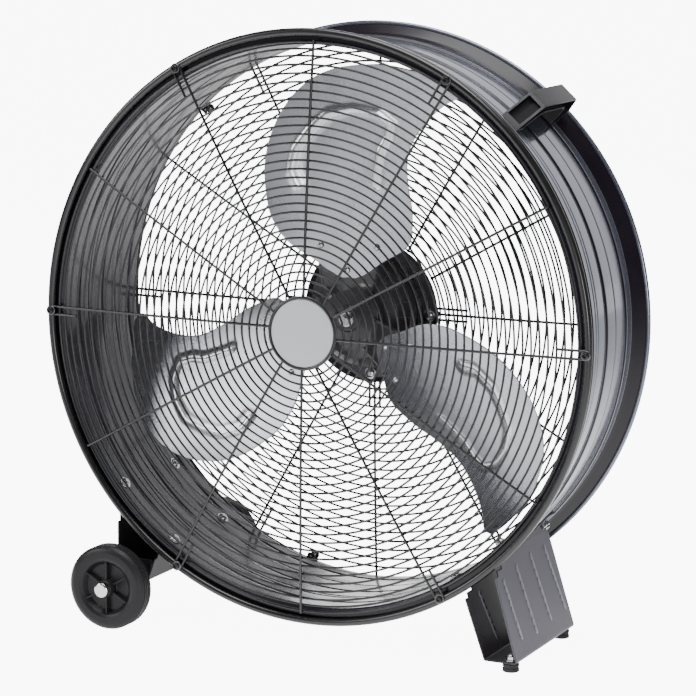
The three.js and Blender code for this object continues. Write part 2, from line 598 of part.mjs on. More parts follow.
const PLATE = { inner: [-250, 64], outer: [-298, 42] };
function wheelBracket() {
  const t = BRACKET_SHEET;
  const channel = bentSheet(
    [[-226, 131], PLATE.inner, PLATE.outer, [-298, 200]],
    [[-228.2, 131.6], [-251.6, 64 + t], [-298 + t, 42 + t + 1], [-298 + t, 200]],
    BRACKET_Y[0], BRACKET_Y[1]);
  const webs = [[BRACKET_Y[0], BRACKET_Y[0] + t], [BRACKET_Y[1] - t, BRACKET_Y[1]]]
    .map(([y0, y1]) => extrudedY([[-249.5, 65.5], [-297.5, 43.5], [-297.5, 92], [-241.5, 92]],
      y0, y1));
  const tabs = [
    ...BOLT_YS.map((y) => drumTab(-143.5, -138.5, y)),
    ...BOLT_YS.map((y) => drumTab(-127.5, -121.5, y))];
  const axleHole = bar(AXLE_R + GAP, -200, 200, 16).translate([WHEEL_X, 0, WHEEL_R]);
  return cut(joined([channel, ...webs, ...tabs]),
    [drumEnvelope(), ...boltTools(WHEEL_BOLT_ANGLES), axleHole]);
}
piece(fan, 'foot_bracket', footBracket(), bracketPaint);
piece(fan, 'wheel_bracket', wheelBracket(), blackPaint);

/** Bolt through the drum wall and a bracket tab: head inside, nut outside. */
function bracketBolt() {
  const inside = DRUM_R - SHEET - FACET - GAP;
  const outside = DRUM_R + GAP + TAB_THICK + GAP;
  return turned([[0, inside - 5], [6.5, inside - 4.5], [7.2, inside - 1.5], [7.2, inside],
    [BOLT_R, inside], [BOLT_R, outside], [6.5, outside], [6.5, outside + 6],
    [0, outside + 6]], 8);
}
function boltRow(prefix, angles) {
  angles.forEach((angle, i) => BOLT_YS.forEach((y, j) => {
    piece(fan, `${prefix}_${i * 2 + j + 1}`, moved(bracketBolt(), radialPlacement(angle, y)), zinc);
  }));
}
boltRow('foot_bracket_bolt', FOOT_BOLT_ANGLES);
boltRow('wheel_bracket_bolt', WHEEL_BOLT_ANGLES);

['front', 'rear'].forEach((end, i) => {
  const y = footCentreY(FOOT_YS[i]);
  const pad = turned([[0, 0], [FOOT_R, 0], [FOOT_R, FOOT_H - 1.5], [FOOT_R - 1.5, FOOT_H],
    [0, FOOT_H]], 20).subtract(bar(BOLT_R + GAP, 3, 20, 8));
  const stand = new THREE.Matrix4().makeRotationX(Math.PI / 2).setPosition(FOOT_X, y, 0);
  piece(fan, `rubber_foot_${end}`, pad, rubber, stand);
  const top = FOOT_PLATE_Z + BRACKET_SHEET + GAP;
  const stud = turned([[0, 3 + GAP], [BOLT_R, 3 + GAP], [BOLT_R, top], [7.5, top],
    [7.5, top + 6], [BOLT_R, top + 6], [BOLT_R, top + 9], [0, top + 9]], 8);
  piece(fan, `foot_bolt_${end}`, stud, zinc, stand);
});

// ---- axle and wheels ----------------------------------------------------------------------
const onAxle = subGroup(fan, WHEEL_X, 0, WHEEL_R);
const AXLE_END = WHEEL_FACE_Y + 4;
piece(onAxle, 'wheel_axle', bar(AXLE_R, -AXLE_END, AXLE_END, 16), zinc);

/** Solid wheel, outer face towards -Y: dished face, hub boss and a grooved tread. */
function wheel() {
  const sides = 32;
  const flat = 1 / Math.cos(Math.PI / sides);
  const outer = -WHEEL_FACE_Y;
  const inner = outer + WHEEL_WIDTH;
  const bore = AXLE_R + 0.4;
  const body = turned([[bore, outer - 5], [12, outer - 5], [13, outer + 9], [33, outer + 9],
    [37, outer + 1], [42, outer], [(WHEEL_R - 4) * flat, outer], [WHEEL_R * flat, outer + 4],
    [WHEEL_R * flat, inner - 4], [(WHEEL_R - 4) * flat, inner], [40, inner], [34, inner - 6],
    [14, inner - 6], [12, inner + 2], [bore, inner + 2]], sides);
  const ribs = [0, 60, 120, 180, 240, 300].map((angle) => extrudedY(
    [[11, -1.2], [36, -1.2], [36, 1.2], [11, 1.2]], outer + 2, outer + 12)
    .rotate([0, -angle - 30, 0]));
  const bottomFlat = 180 / sides;
  return joined([body.rotate([0, bottomFlat, 0]), ...ribs])
    .subtract(bar(bore, -250, 0, sides));
}
const turnedRound = new THREE.Matrix4().makeRotationZ(Math.PI);
piece(onAxle, 'front_wheel', wheel(), rubber);
piece(onAxle, 'rear_wheel', wheel(), rubber, turnedRound);
function domedCap() {
  const face = -(WHEEL_FACE_Y + 5.6);
  return turned([[0, face - 8], [7, face - 8], [10.5, face - 5], [10.5, face], [0, face]], 20);
}
piece(onAxle, 'axle_cap_front', domedCap(), zinc);
piece(onAxle, 'axle_cap_rear', domedCap(), zinc, turnedRound);

export default fan;
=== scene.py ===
"""Visual model of a drum fan on a two-wheel stand.

Every length is in millimetres until a mesh is made. The fan's axis runs along Y and its
front faces -Y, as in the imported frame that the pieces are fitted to.
"""

import logging
import math
from dataclasses import dataclass
from enum import Enum
from typing import Callable, Sequence

import bmesh
import bpy
from mathutils import Matrix, Vector


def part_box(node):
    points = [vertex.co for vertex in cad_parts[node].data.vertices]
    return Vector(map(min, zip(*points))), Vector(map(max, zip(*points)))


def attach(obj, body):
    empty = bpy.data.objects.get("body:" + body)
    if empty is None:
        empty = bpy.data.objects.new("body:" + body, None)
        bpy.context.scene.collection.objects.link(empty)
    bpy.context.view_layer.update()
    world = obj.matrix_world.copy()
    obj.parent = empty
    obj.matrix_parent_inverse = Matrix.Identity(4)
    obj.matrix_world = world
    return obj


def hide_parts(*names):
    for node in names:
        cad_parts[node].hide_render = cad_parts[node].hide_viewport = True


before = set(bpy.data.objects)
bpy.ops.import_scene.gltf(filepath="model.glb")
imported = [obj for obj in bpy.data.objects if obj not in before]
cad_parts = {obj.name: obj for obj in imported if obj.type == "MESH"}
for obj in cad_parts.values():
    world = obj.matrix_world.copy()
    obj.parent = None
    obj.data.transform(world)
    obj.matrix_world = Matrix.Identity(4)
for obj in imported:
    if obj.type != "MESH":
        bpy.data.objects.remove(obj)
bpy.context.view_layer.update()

LOG = logging.getLogger("drum_fan")
MM = 0.001
Point = tuple[float, float]
Colour = tuple[float, float, float]


# Places taken from the frame

def corners(node: str) -> tuple[Vector, Vector]:
    """Lowest and highest corner of a CAD node, in millimetres.

    Args:
        node: name of the CAD node.

    Returns:
        The two corners of its box at rest.
    """
    low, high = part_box(node)
    return Vector(low) / MM, Vector(high) / MM


def middle(node: str) -> Vector:
    """Middle of a CAD node's box, in millimetres."""
    low, high = corners(node)
    return (low + high) / 2


AXIS = middle("motor_shaft")
AXLE = middle("wheel_axle")
RIM_R = (corners("front_grille")[1].x - corners("front_grille")[0].x) / 2
# The shell starts this far behind the front guard's rim, and the drum is this deep.
SHELL_SETBACK = 6.0
DRUM_DEPTH = 233.0
FRONT_Y = corners("drum_shell")[0].y - SHELL_SETBACK
REAR_Y = FRONT_Y + DRUM_DEPTH
WALL_R = 388.0


def polar(radius: float, degrees: float, y: float = 0.0) -> Vector:
    """Point at a radius and an angle about the fan's axis, in the row frame."""
    turn = math.radians(degrees)
    return Vector((AXIS.x + radius * math.cos(turn), y, AXIS.z + radius * math.sin(turn)))


def radial_place(degrees: float, y: float) -> Matrix:
    """Matrix whose local Y points away from the fan's axis at an angle.

    Args:
        degrees: angle about the fan's axis, 0 at +X and 90 at the top.
        y: place along the axis.

    Returns:
        Local X along the drum, local Y outwards, local Z round the drum.
    """
    outward = polar(1, degrees) - polar(0, degrees)
    along = Vector((0, 1, 0))
    place = Matrix((along, outward, along.cross(outward))).transposed().to_4x4()
    place.translation = Vector((AXIS.x, y, AXIS.z))
    return place


def shift(x: float, y: float, z: float) -> Matrix:
    """Matrix that only moves."""
    return Matrix.Translation((x, y, z))


def on_axis(y: float = 0.0) -> Matrix:
    """Matrix that moves to a place on the fan's axis."""
    return shift(AXIS.x, y, AXIS.z)


def spin(degrees: float, about: str = "Y") -> Matrix:
    """Matrix that turns about one axis."""
    return Matrix.Rotation(math.radians(degrees), 4, about)


# Local X and Y drawn upright in the row's X and Z, with local Z towards the front.
UPRIGHT = Matrix(((1, 0, 0, 0), (0, 0, -1, 0), (0, 1, 0, 0), (0, 0, 0, 1)))
# Local Y turned to point up, for what stands on the floor.
STANDING = spin(90, "X")


# Meshes

def add_object(name: str, data: bpy.types.ID) -> bpy.types.Object:
    """Puts an object with new data in the scene."""
    piece = bpy.data.objects.new(name, data)
    bpy.context.scene.collection.objects.link(piece)
    return piece


def make_mesh(name: str, points: Sequence[Vector], faces: Sequence[Sequence[int]],
              crease: float = 32.0) -> bpy.types.Object:
    """Makes an object from points in millimetres.

    Args:
        name: name of the piece.
        points: corners, in the row frame.
        faces: corner numbers of each face.
        crease: edges sharper than this angle stay crisp, in degrees.

    Returns:
        The linked object, with its faces turned outwards.
    """
    mesh = bpy.data.meshes.new(name)
    mesh.from_pydata([tuple(Vector(point) * MM) for point in points], [], faces)
    work = bmesh.new()
    work.from_mesh(mesh)
    bmesh.ops.recalc_face_normals(work, faces=work.faces)
    work.to_mesh(mesh)
    work.free()
    mesh.shade_smooth()
    mesh.set_sharp_from_angle(angle=math.radians(crease))
    return add_object(name, mesh)


def fillet(line: Sequence[Point], radius: float, closed: bool = False,
           steps: int = 4) -> list[Point]:
    """Rounds the corners of a line.

    Args:
        line: corners of the line.
        radius: radius of each corner, cut down where a side is short.
        closed: whether the last point joins the first.
        steps: segments in each round corner.

    Returns:
        The rounded line.
    """
    count = len(line)
    rounded: list[Point] = []
    for index, corner in enumerate(line):
        if not closed and index in (0, count - 1):
            rounded.append(corner)
            continue
        here = Vector(corner)
        before = Vector(line[index - 1]) - here
        after = Vector(line[(index + 1) % count]) - here
        angle = before.angle(after, math.pi)
        if angle > math.radians(176) or radius <= 0:
            rounded.append(corner)
            continue
        reach = min(radius / math.tan(angle / 2), before.length * 0.45, after.length * 0.45)
        start = here + before.normalized() * reach
        end = here + after.normalized() * reach
        for step in range(steps + 1):
            t = step / steps
            bend = start * (1 - t) ** 2 + here * 2 * t * (1 - t) + end * t ** 2
            rounded.append((bend.x, bend.y))
    return rounded


def lathe(name: str, profile: Sequence[Point], segments: int = 48,
          place: Matrix = Matrix.Identity(4), crease: float = 32.0) -> bpy.types.Object:
    """Turns a profile about the local Y axis.

    Args:
        name: name of the piece.
        profile: [radius, y] points; it starts and ends on the axis, or closes on itself.
        segments: divisions round the axis.
        place: matrix from the local frame to the row frame.
        crease: angle above which an edge stays crisp.

    Returns:
        The turned piece.
    """
    points: list[Vector] = []
    rows: list[list[int]] = []
    for radius, y in profile:
        spread = 1 if radius < 1e-6 else segments
        rows.append(list(range(len(points), len(points) + spread)))
        for step in range(spread):
            turn = 2 * math.pi * step / segments
            local = Vector((radius * math.cos(turn), y, radius * math.sin(turn)))
            points.append(place @ local)
    pairs = list(zip(rows, rows[1:]))
    if profile[0][0] > 1e-6:
        pairs.append((rows[-1], rows[0]))
    faces: list[list[int]] = []
    for first, second in pairs:
        for step in range(segments):
            following = (step + 1) % segments
            corner = [first[step % len(first)], first[following % len(first)],
                      second[following % len(second)], second[step % len(second)]]
            face = list(dict.fromkeys(corner))
            if len(face) > 2:
                faces.append(face)
    return make_mesh(name, points, faces, crease)


def soften(piece: bpy.types.Object, width: float, segments: int = 3) -> bpy.types.Object:
    """Rounds a piece's hard edges by a width in millimetres."""
    bevel = piece.modifiers.new("edge rounding", "BEVEL")
    bevel.width = width * MM
    bevel.segments = segments
    bevel.limit_method = "ANGLE"
    bevel.angle_limit = math.radians(30)
    bevel.harden_normals = True
    return piece


def prism(name: str, outline: Sequence[Point], low: float, high: float,
          place: Matrix = UPRIGHT, edge: float = 0.0,
          pockets: dict[int, Point] | None = None) -> bpy.types.Object:
    """Draws an outline out into a block.

    Args:
        name: name of the piece.
        outline: corners in the local X and Y.
        low: start along the local Z.
        high: end along the local Z.
        place: matrix from the local frame to the row frame.
        edge: rounding of the edges.
        pockets: side number, or -1 for the end at high, to (border, depth) of a recess
        pressed into that side, which takes the second material; for the handle this is
        a near-black copy that paints shade in the recess.

    Returns:
        The block.
    """
    count = len(outline)
    points = [place @ Vector((x, y, z)) for z in (low, high) for x, y in outline]
    faces = [list(range(count)), list(range(2 * count - 1, count - 1, -1))]
    faces += [[i, (i + 1) % count, count + (i + 1) % count, count + i] for i in range(count)]
    piece = make_mesh(name, points, faces)
    if pockets:
        work = bmesh.new()
        work.from_mesh(piece.data)
        work.faces.ensure_lookup_table()
        floors = {side: work.faces[side + 2] for side in pockets}
        for side, (border, depth) in pockets.items():
            floor = floors[side]
            bmesh.ops.inset_individual(work, faces=[floor], thickness=border * MM)
            walls = bmesh.ops.inset_individual(work, faces=[floor], thickness=0.4 * MM,
                                               depth=-depth * MM)["faces"]
            # The recess takes the second material, which for the handle is painted shade.
            for face in [floor, *walls]:
                face.material_index = 1
        work.to_mesh(piece.data)
        work.free()
    return soften(piece, edge) if edge else piece


def lattice(rows: int, width: int) -> list[list[int]]:
    """Faces between neighbouring rows of points that are all as wide."""
    return [[i * width + j, (i + 1) * width + j, (i + 1) * width + j + 1, i * width + j + 1]
            for i in range(rows - 1) for j in range(width - 1)]


def thicken(piece: bpy.types.Object, thickness: float) -> bpy.types.Object:
    """Gives a surface the thickness of its sheet, to both sides."""
    solid = piece.modifiers.new("sheet", "SOLIDIFY")
    solid.thickness = thickness * MM
    solid.offset = 0
    return piece


def grid(name: str, at: Callable[[float, float], Vector], across: int, along: int,
         thickness: float, crease: float = 40.0) -> bpy.types.Object:
    """Makes sheet metal over a grid.

    Args:
        name: name of the piece.
        at: gives the sheet's middle surface at two shares from 0 to 1.
        across: divisions of the first share.
        along: divisions of the second share.
        thickness: of the sheet.
        crease: angle above which an edge stays crisp.

    Returns:
        The sheet.
    """
    points = [at(i / across, j / along) for i in range(across + 1) for j in range(along + 1)]
    return thicken(make_mesh(name, points, lattice(across + 1, along + 1), crease), thickness)


def wires(name: str, paths: Sequence[Sequence[Vector]], radius: float,
          closed: bool = False) -> bpy.types.Object:
    """Makes round wire along paths.

    Args:
        name: name of the piece.
        paths: one list of points for each wire.
        radius: of the wire.
        closed: whether each wire is a hoop.

    Returns:
        One curve object that holds all of the wires.
    """
    curve = bpy.data.curves.new(name, "CURVE")
    curve.dimensions = "3D"
    curve.bevel_depth = radius * MM
    curve.bevel_resolution = 2
    curve.use_fill_caps = True
    for path in paths:
        strand = curve.splines.new("POLY")
        strand.points.add(len(path) - 1)
        for knot, point in zip(strand.points, path):
            knot.co = (*(Vector(point) * MM), 1.0)
        strand.use_cyclic_u = closed
        strand.use_smooth = True
    return add_object(name, curve)


def hoop(radius: float, y: float, knots: int = 160, place: Matrix | None = None) -> list[Vector]:
    """Points of a circle about the fan's axis, or about a local Y axis."""
    if place is None:
        return [polar(radius, 360 * k / knots, y) for k in range(knots)]
    turns = [2 * math.pi * k / knots for k in range(knots)]
    return [place @ Vector((radius * math.cos(t), y, radius * math.sin(t))) for t in turns]


def blobs(name: str, places: Sequence[Vector], radius: float) -> bpy.types.Object:
    """Small round weld beads, one at each place."""
    work = bmesh.new()
    for place in places:
        bmesh.ops.create_icosphere(work, subdivisions=1, radius=radius * MM,
                                   matrix=Matrix.Translation(place * MM))
    mesh = bpy.data.meshes.new(name)
    work.to_mesh(mesh)
    work.free()
    mesh.shade_smooth()
    return add_object(name, mesh)


def hexagon(radius: float, turn: float = 0.0) -> list[Point]:
    """Corners of a nut, turned by an angle in radians."""
    angles = [math.pi * k / 3 + turn for k in range(6)]
    return [(radius * math.cos(angle), radius * math.sin(angle)) for angle in angles]


def smooth_step(value: float) -> float:
    """Eases a share from 0 to 1 without a kink."""
    share = min(max(value, 0.0), 1.0)
    return share * share * (3 - 2 * share)


def capsule(point: Vector, start: Vector, end: Vector) -> float:
    """Distance from a point to a straight stretch, in its own plane."""
    span = end - start
    share = min(max((point - start).dot(span) / span.length_squared, 0.0), 1.0)
    return (point - start - span * share).length


def spline(knots: Sequence[Point], value: float) -> float:
    """Smooth curve through (x, y) knots, read at x.

    Args:
        knots: points in order of x.
        value: the x to read at.

    Returns:
        The curve's y there.
    """
    last = len(knots) - 2
    i = next((k for k in range(last + 1) if value <= knots[k + 1][0]), last)
    (x0, y0), (x1, y1) = knots[i], knots[i + 1]

    def slope(k: int) -> float:
        """Slope of the curve at a knot."""
        a, b = knots[max(k - 1, 0)], knots[min(k + 1, last + 1)]
        return (b[1] - a[1]) / (b[0] - a[0])

    span = x1 - x0
    t = min(max((value - x0) / span, 0.0), 1.0)
    rise = y0 * (1 + 2 * t) * (1 - t) ** 2 + y1 * t * t * (3 - 2 * t)
    return rise + span * t * (1 - t) * (slope(i) * (1 - t) - slope(i + 1) * t)


# Finishes

class Skin(Enum):
    """How a surface is textured close up."""

    POWDER = "powder coat"
    MOULDED = "moulded grain"
    ROLLED = "rolled sheet"
    TURNED = "turned metal"


@dataclass(frozen=True)
class Finish:
    """One finish of the fan.

    Attributes:
        name: name of the material.
        slot: material slot of the record that it belongs to; not used.
        colour: main colour.
        shade: second colour, mixed in by a slow cloud.
        skin: close-up texture.
        rough: roughness.
        metal: metallic share.
        coat: weight of the clear layer.
        relief: depth of the close-up texture, in millimetres.
        bare: colour at worn edges.
        wear: how much of the edges is worn.
        dust: how much dust lies on faces that look up.
        shine: specular level.
    """

    name: str
    slot: str
    colour: Colour
    shade: Colour
    skin: Skin = Skin.POWDER
    rough: float = 0.35
    metal: float = 0.0
    coat: float = 0.0
    relief: float = 0.05
    bare: Colour = (0.42, 0.42, 0.44)
    wear: float = 0.15
    dust: float = 0.06
    shine: float = 0.5


# The drum has one gloss black paint, drawn as three copies: a lit copy outside, a painted shade
# copy inside, and a near-black copy that paints a dark reflection on the flare and the bead
# sides.
DRUM_LIT_OUTSIDE = Finish("drum paint", "drum_paint", (0.165, 0.175, 0.222), (0.185, 0.196, 0.246),
                  rough=0.15, metal=0.62, coat=0.4, relief=0.006, wear=0.0, dust=0.02)
DRUM_SHADED_INSIDE = Finish("drum painted shade inside", "drum_paint", (0.033, 0.03, 0.042),
                 (0.052, 0.048, 0.065), rough=0.22, metal=0.3, coat=0.3, relief=0.03, dust=0.03)
DRUM_DARK_REFLECTION = Finish("drum painted dark reflection", "drum_paint", (0.006, 0.004, 0.008),
                    (0.01, 0.007, 0.013), rough=0.22, coat=0.05, relief=0.01, wear=0.02,
                    dust=0.01, shine=0.3)
BLACK_PAINT = Finish("black paint", "black_paint", (0.032, 0.029, 0.033),
                     (0.044, 0.04, 0.046), rough=0.3, coat=0.4, wear=0.06)
BRACKET_PAINT = Finish("bracket paint", "bracket_paint", (0.06, 0.056, 0.082),
                       (0.082, 0.077, 0.108), rough=0.42, metal=0.25, coat=0.1, wear=0.06)
# Lighter copy of the bracket paint, a painted highlight on the rib crests; and a near-black
# copy, painted shade on the inner panel and the foot's plate.
BRACKET_RIB_HIGHLIGHT = Finish("bracket rib painted highlight", "bracket_paint", (0.3, 0.3, 0.35), (0.36, 0.36, 0.41),
                     rough=0.38, metal=0.3, coat=0.1, wear=0.0)
BRACKET_SHADED_INSIDE = Finish("bracket painted shade inside", "bracket_paint", (0.012, 0.008, 0.013),
                        (0.022, 0.016, 0.024), rough=0.35, coat=0.15, wear=0.0)
WHEEL_BRACKET_PAINT = Finish("wheel bracket paint", "black_paint", (0.008, 0.006, 0.008),
                             (0.014, 0.011, 0.014), rough=0.4, wear=0.05, dust=0.02, shine=0.2)
WIRE = Finish("guard wire", "black_wire", (0.004, 0.004, 0.0045), (0.009, 0.009, 0.01),
              rough=0.26, coat=0.25, relief=0.02, wear=0.02, dust=0.0)
BADGE_RING = Finish("badge ring", "badge_bezel", (0.005, 0.005, 0.006), (0.01, 0.01, 0.011),
                    Skin.MOULDED, rough=0.3, coat=0.2, relief=0.01, dust=0.0)
BADGE = Finish("badge disc", "badge_grey", (0.6, 0.635, 0.66), (0.63, 0.665, 0.69),
               Skin.TURNED, rough=0.42, metal=0.15, relief=0.01, wear=0.0, dust=0.0)
HANDLE = Finish("handle plastic", "handle_plastic", (0.038, 0.036, 0.04),
                (0.055, 0.053, 0.058), Skin.MOULDED, rough=0.42, relief=0.12,
                bare=(0.12, 0.12, 0.125), dust=0.02)
# Near-black copy of the handle plastic, painted shade in the pockets and on the web.
HANDLE_SHADED_HOLLOW = Finish("handle hollow painted shade", "handle_plastic", (0.008, 0.007, 0.009),
                       (0.014, 0.013, 0.016), Skin.MOULDED, rough=0.55, relief=0.12, wear=0.0,
                       dust=0.0, shine=0.15)
# Lighter copy of the blade aluminium, a painted highlight on the rib's crest.
BLADE_RIB_HIGHLIGHT = Finish("blade rib painted highlight", "aluminium_sheet", (0.84, 0.845, 0.9), (0.88, 0.885, 0.93),
                   Skin.ROLLED, rough=0.24, metal=0.85, relief=0.004, wear=0.0, dust=0.02)
ALUMINIUM = Finish("blade aluminium", "aluminium_sheet", (0.5, 0.505, 0.56),
                   (0.58, 0.585, 0.63), Skin.ROLLED, rough=0.26, metal=0.9, relief=0.004,
                   wear=0.0, dust=0.0)
ZINC = Finish("zinc plate", "zinc_plate", (0.66, 0.67, 0.68), (0.5, 0.5, 0.5), Skin.TURNED,
              rough=0.2, metal=1.0, relief=0.02, wear=0.0, dust=0.0)
DARK_STEEL = Finish("blackened steel", "zinc_plate", (0.02, 0.02, 0.021),
                    (0.045, 0.045, 0.045), Skin.TURNED, rough=0.26, metal=0.6, relief=0.02,
                    wear=0.3, dust=0.0)
WASHER = Finish("dark washer", "zinc_plate", (0.11, 0.11, 0.115), (0.17, 0.17, 0.175),
                Skin.TURNED, rough=0.28, metal=0.85, relief=0.02, wear=0.2, dust=0.0)
WHEEL = Finish("wheel plastic", "wheel_plastic", (0.018, 0.0175, 0.0195), (0.026, 0.025, 0.028),
               Skin.MOULDED, rough=0.36, relief=0.06, bare=(0.06, 0.06, 0.065), dust=0.02,
               shine=0.2)
RUBBER = Finish("foot rubber", "foot_rubber", (0.006, 0.006, 0.0065), (0.016, 0.016, 0.016),
                Skin.MOULDED, rough=0.7, relief=0.15, dust=0.08)
MOTOR_PAINT = Finish("motor paint", "motor_paint", (0.06, 0.054, 0.062),
                     (0.078, 0.07, 0.08), rough=0.33, coat=0.35, relief=0.06, dust=0.0,
                     wear=0.03)
COPPER = Finish("winding copper", "winding_copper", (0.62, 0.26, 0.1), (0.45, 0.17, 0.07),
                Skin.ROLLED, rough=0.3, metal=0.9, relief=0.2)
LAMINATIONS = Finish("laminated steel", "laminated_steel", (0.3, 0.3, 0.32),
                     (0.2, 0.2, 0.21), Skin.ROLLED, rough=0.45, metal=0.85, relief=0.1)
SWITCH = Finish("switch plastic", "switch_plastic", (0.014, 0.014, 0.015),
                (0.024, 0.024, 0.026), Skin.MOULDED, rough=0.42, relief=0.08, dust=0.02)


class Nodes:
    """Adds shader nodes to one tree and links them."""

    def __init__(self, tree: bpy.types.NodeTree) -> None:
        """Keeps the tree."""
        self.tree = tree

    def feed(self, socket: bpy.types.NodeSocket, value: object) -> None:
        """Links a socket to another one, or gives it a constant."""
        if isinstance(value, bpy.types.NodeSocket):
            self.tree.links.new(value, socket)
        else:
            socket.default_value = value

    def add(self, kind: str, **values: object) -> bpy.types.Node:
        """Adds a node.

        Args:
            kind: Blender's name of the node.
            values: attributes of the node, or its inputs by name, with _ for a space.

        Returns:
            The node.
        """
        node = self.tree.nodes.new(kind)
        for key, value in values.items():
            if hasattr(node, key):
                setattr(node, key, value)
            else:
                self.feed(node.inputs[key.replace("_", " ")], value)
        return node

    def maths(self, operation: str, first: object, second: object) -> bpy.types.NodeSocket:
        """Adds a Math node and returns its value."""
        node = self.add("ShaderNodeMath", operation=operation)
        self.feed(node.inputs[0], first)
        self.feed(node.inputs[1], second)
        return node.outputs[0]

    def remap(self, value: bpy.types.NodeSocket, low: float, high: float,
              to_low: float = 0.0, to_high: float = 1.0) -> bpy.types.NodeSocket:
        """Adds a Map Range node and returns its result."""
        node = self.add("ShaderNodeMapRange", Value=value, From_Min=low, From_Max=high,
                        To_Min=to_low, To_Max=to_high)
        return node.outputs["Result"]

    def mix(self, factor: object, first: object, second: object) -> bpy.types.NodeSocket:
        """Adds a colour mix and returns its colour."""
        node = self.add("ShaderNodeMix", data_type="RGBA")
        for number, value in ((0, factor), (6, first), (7, second)):
            self.feed(node.inputs[number], value)
        return node.outputs[2]


class NodeGroups:
    """The effects that several finishes share, each built once."""

    def __init__(self) -> None:
        """Builds the groups."""
        self.edge_wear = self.build_cover("edge wear", self.exposed_edges, (160.0, 4.0),
                                          (0.42, 0.6))
        self.settled_dust = self.build_cover("settled dust", self.upward_faces, (24.0, 6.0),
                                             (0.35, 0.7))
        self.skins = {skin: self.build_skin(skin) for skin in Skin}

    @staticmethod
    def start(name: str, inputs: dict[str, str], outputs: dict[str, str]) -> tuple[
            bpy.types.NodeTree, Nodes, bpy.types.Node, bpy.types.Node]:
        """Makes an empty group.

        Args:
            name: name of the group.
            inputs: input names and their kinds, Color or Float.
            outputs: output names and their kinds.

        Returns:
            The group, its node adder, and its input and output nodes.
        """
        tree = bpy.data.node_groups.new(name, "ShaderNodeTree")
        for way, sockets in (("INPUT", inputs), ("OUTPUT", outputs)):
            for label, kind in sockets.items():
                tree.interface.new_socket(label, in_out=way, socket_type=f"NodeSocket{kind}")
        nodes = Nodes(tree)
        return tree, nodes, nodes.add("NodeGroupInput"), nodes.add("NodeGroupOutput")

    @staticmethod
    def exposed_edges(nodes: Nodes) -> bpy.types.NodeSocket:
        """Mask of the most exposed edges."""
        return nodes.remap(nodes.add("ShaderNodeNewGeometry").outputs["Pointiness"], 0.53, 0.62)

    @staticmethod
    def upward_faces(nodes: Nodes) -> bpy.types.NodeSocket:
        """Mask of the faces that look up, with a little on all the others."""
        facing = nodes.add("ShaderNodeSeparateXYZ",
                           Vector=nodes.add("ShaderNodeNewGeometry").outputs["Normal"])
        return nodes.remap(facing.outputs["Z"], 0.2, 1.0, 0.15, 1.0)

    def build_cover(self, name: str, exposed: Callable[[Nodes], bpy.types.NodeSocket],
                    noise: Point, patches: Point) -> bpy.types.NodeTree:
        """Group that lays one colour over another in broken patches.

        Args:
            name: name of the group.
            exposed: adds the mask of where the cover may lie.
            noise: scale and detail of the patches.
            patches: noise values where the cover starts and is full.

        Returns:
            A group that puts out the Color and the cover's Mask.
        """
        tree, nodes, given, result = self.start(
            name, {"Under": "Color", "Over": "Color", "Amount": "Float"},
            {"Color": "Color", "Mask": "Float"})
        where = nodes.add("ShaderNodeTexCoord").outputs["Object"]
        cloud = nodes.add("ShaderNodeTexNoise", Vector=where, Scale=noise[0], Detail=noise[1])
        broken = nodes.remap(cloud.outputs["Fac"], *patches)
        mask = nodes.maths("MULTIPLY", nodes.maths("MULTIPLY", exposed(nodes), broken),
                           given.outputs["Amount"])
        nodes.feed(result.inputs["Color"],
                   nodes.mix(mask, given.outputs["Under"], given.outputs["Over"]))
        nodes.feed(result.inputs["Mask"], mask)
        return tree

    def build_skin(self, skin: Skin) -> bpy.types.NodeTree:
        """Group with the close-up texture of one kind of surface.

        Args:
            skin: the kind of surface.

        Returns:
            A group that puts out a slow Tone and a fine Height.
        """
        tree, nodes, given, result = self.start(
            skin.value, {"Relief": "Float"}, {"Tone": "Float", "Height": "Float"})
        where = nodes.add("ShaderNodeTexCoord").outputs["Object"]
        cloud = nodes.add("ShaderNodeTexNoise", Vector=where, Scale=9.0, Detail=3.0)
        tone = nodes.remap(cloud.outputs["Fac"], 0.35, 0.65)
        if skin is Skin.POWDER:
            fine = nodes.add("ShaderNodeTexNoise", Vector=where, Scale=420.0, Detail=2.0)
            height = fine.outputs["Fac"]
        elif skin is Skin.MOULDED:
            pebbles = nodes.add("ShaderNodeTexVoronoi", Vector=where, Scale=900.0)
            height = pebbles.outputs["Distance"]
        else:
            stretch = (40.0, 900.0, 900.0) if skin is Skin.ROLLED else (1500.0, 60.0, 1500.0)
            drawn = nodes.add("ShaderNodeVectorMath", operation="MULTIPLY")
            nodes.feed(drawn.inputs[0], where)
            nodes.feed(drawn.inputs[1], stretch)
            lines = nodes.add("ShaderNodeTexNoise", Vector=drawn.outputs[0], Scale=1.0,
                              Detail=3.0)
            height = lines.outputs["Fac"]
            tone = nodes.maths("ADD", nodes.maths("MULTIPLY", tone, 0.85),
                               nodes.maths("MULTIPLY", height, 0.15))
        nodes.feed(result.inputs["Tone"], tone)
        nodes.feed(result.inputs["Height"],
                   nodes.maths("MULTIPLY", height, given.outputs["Relief"]))
        return tree


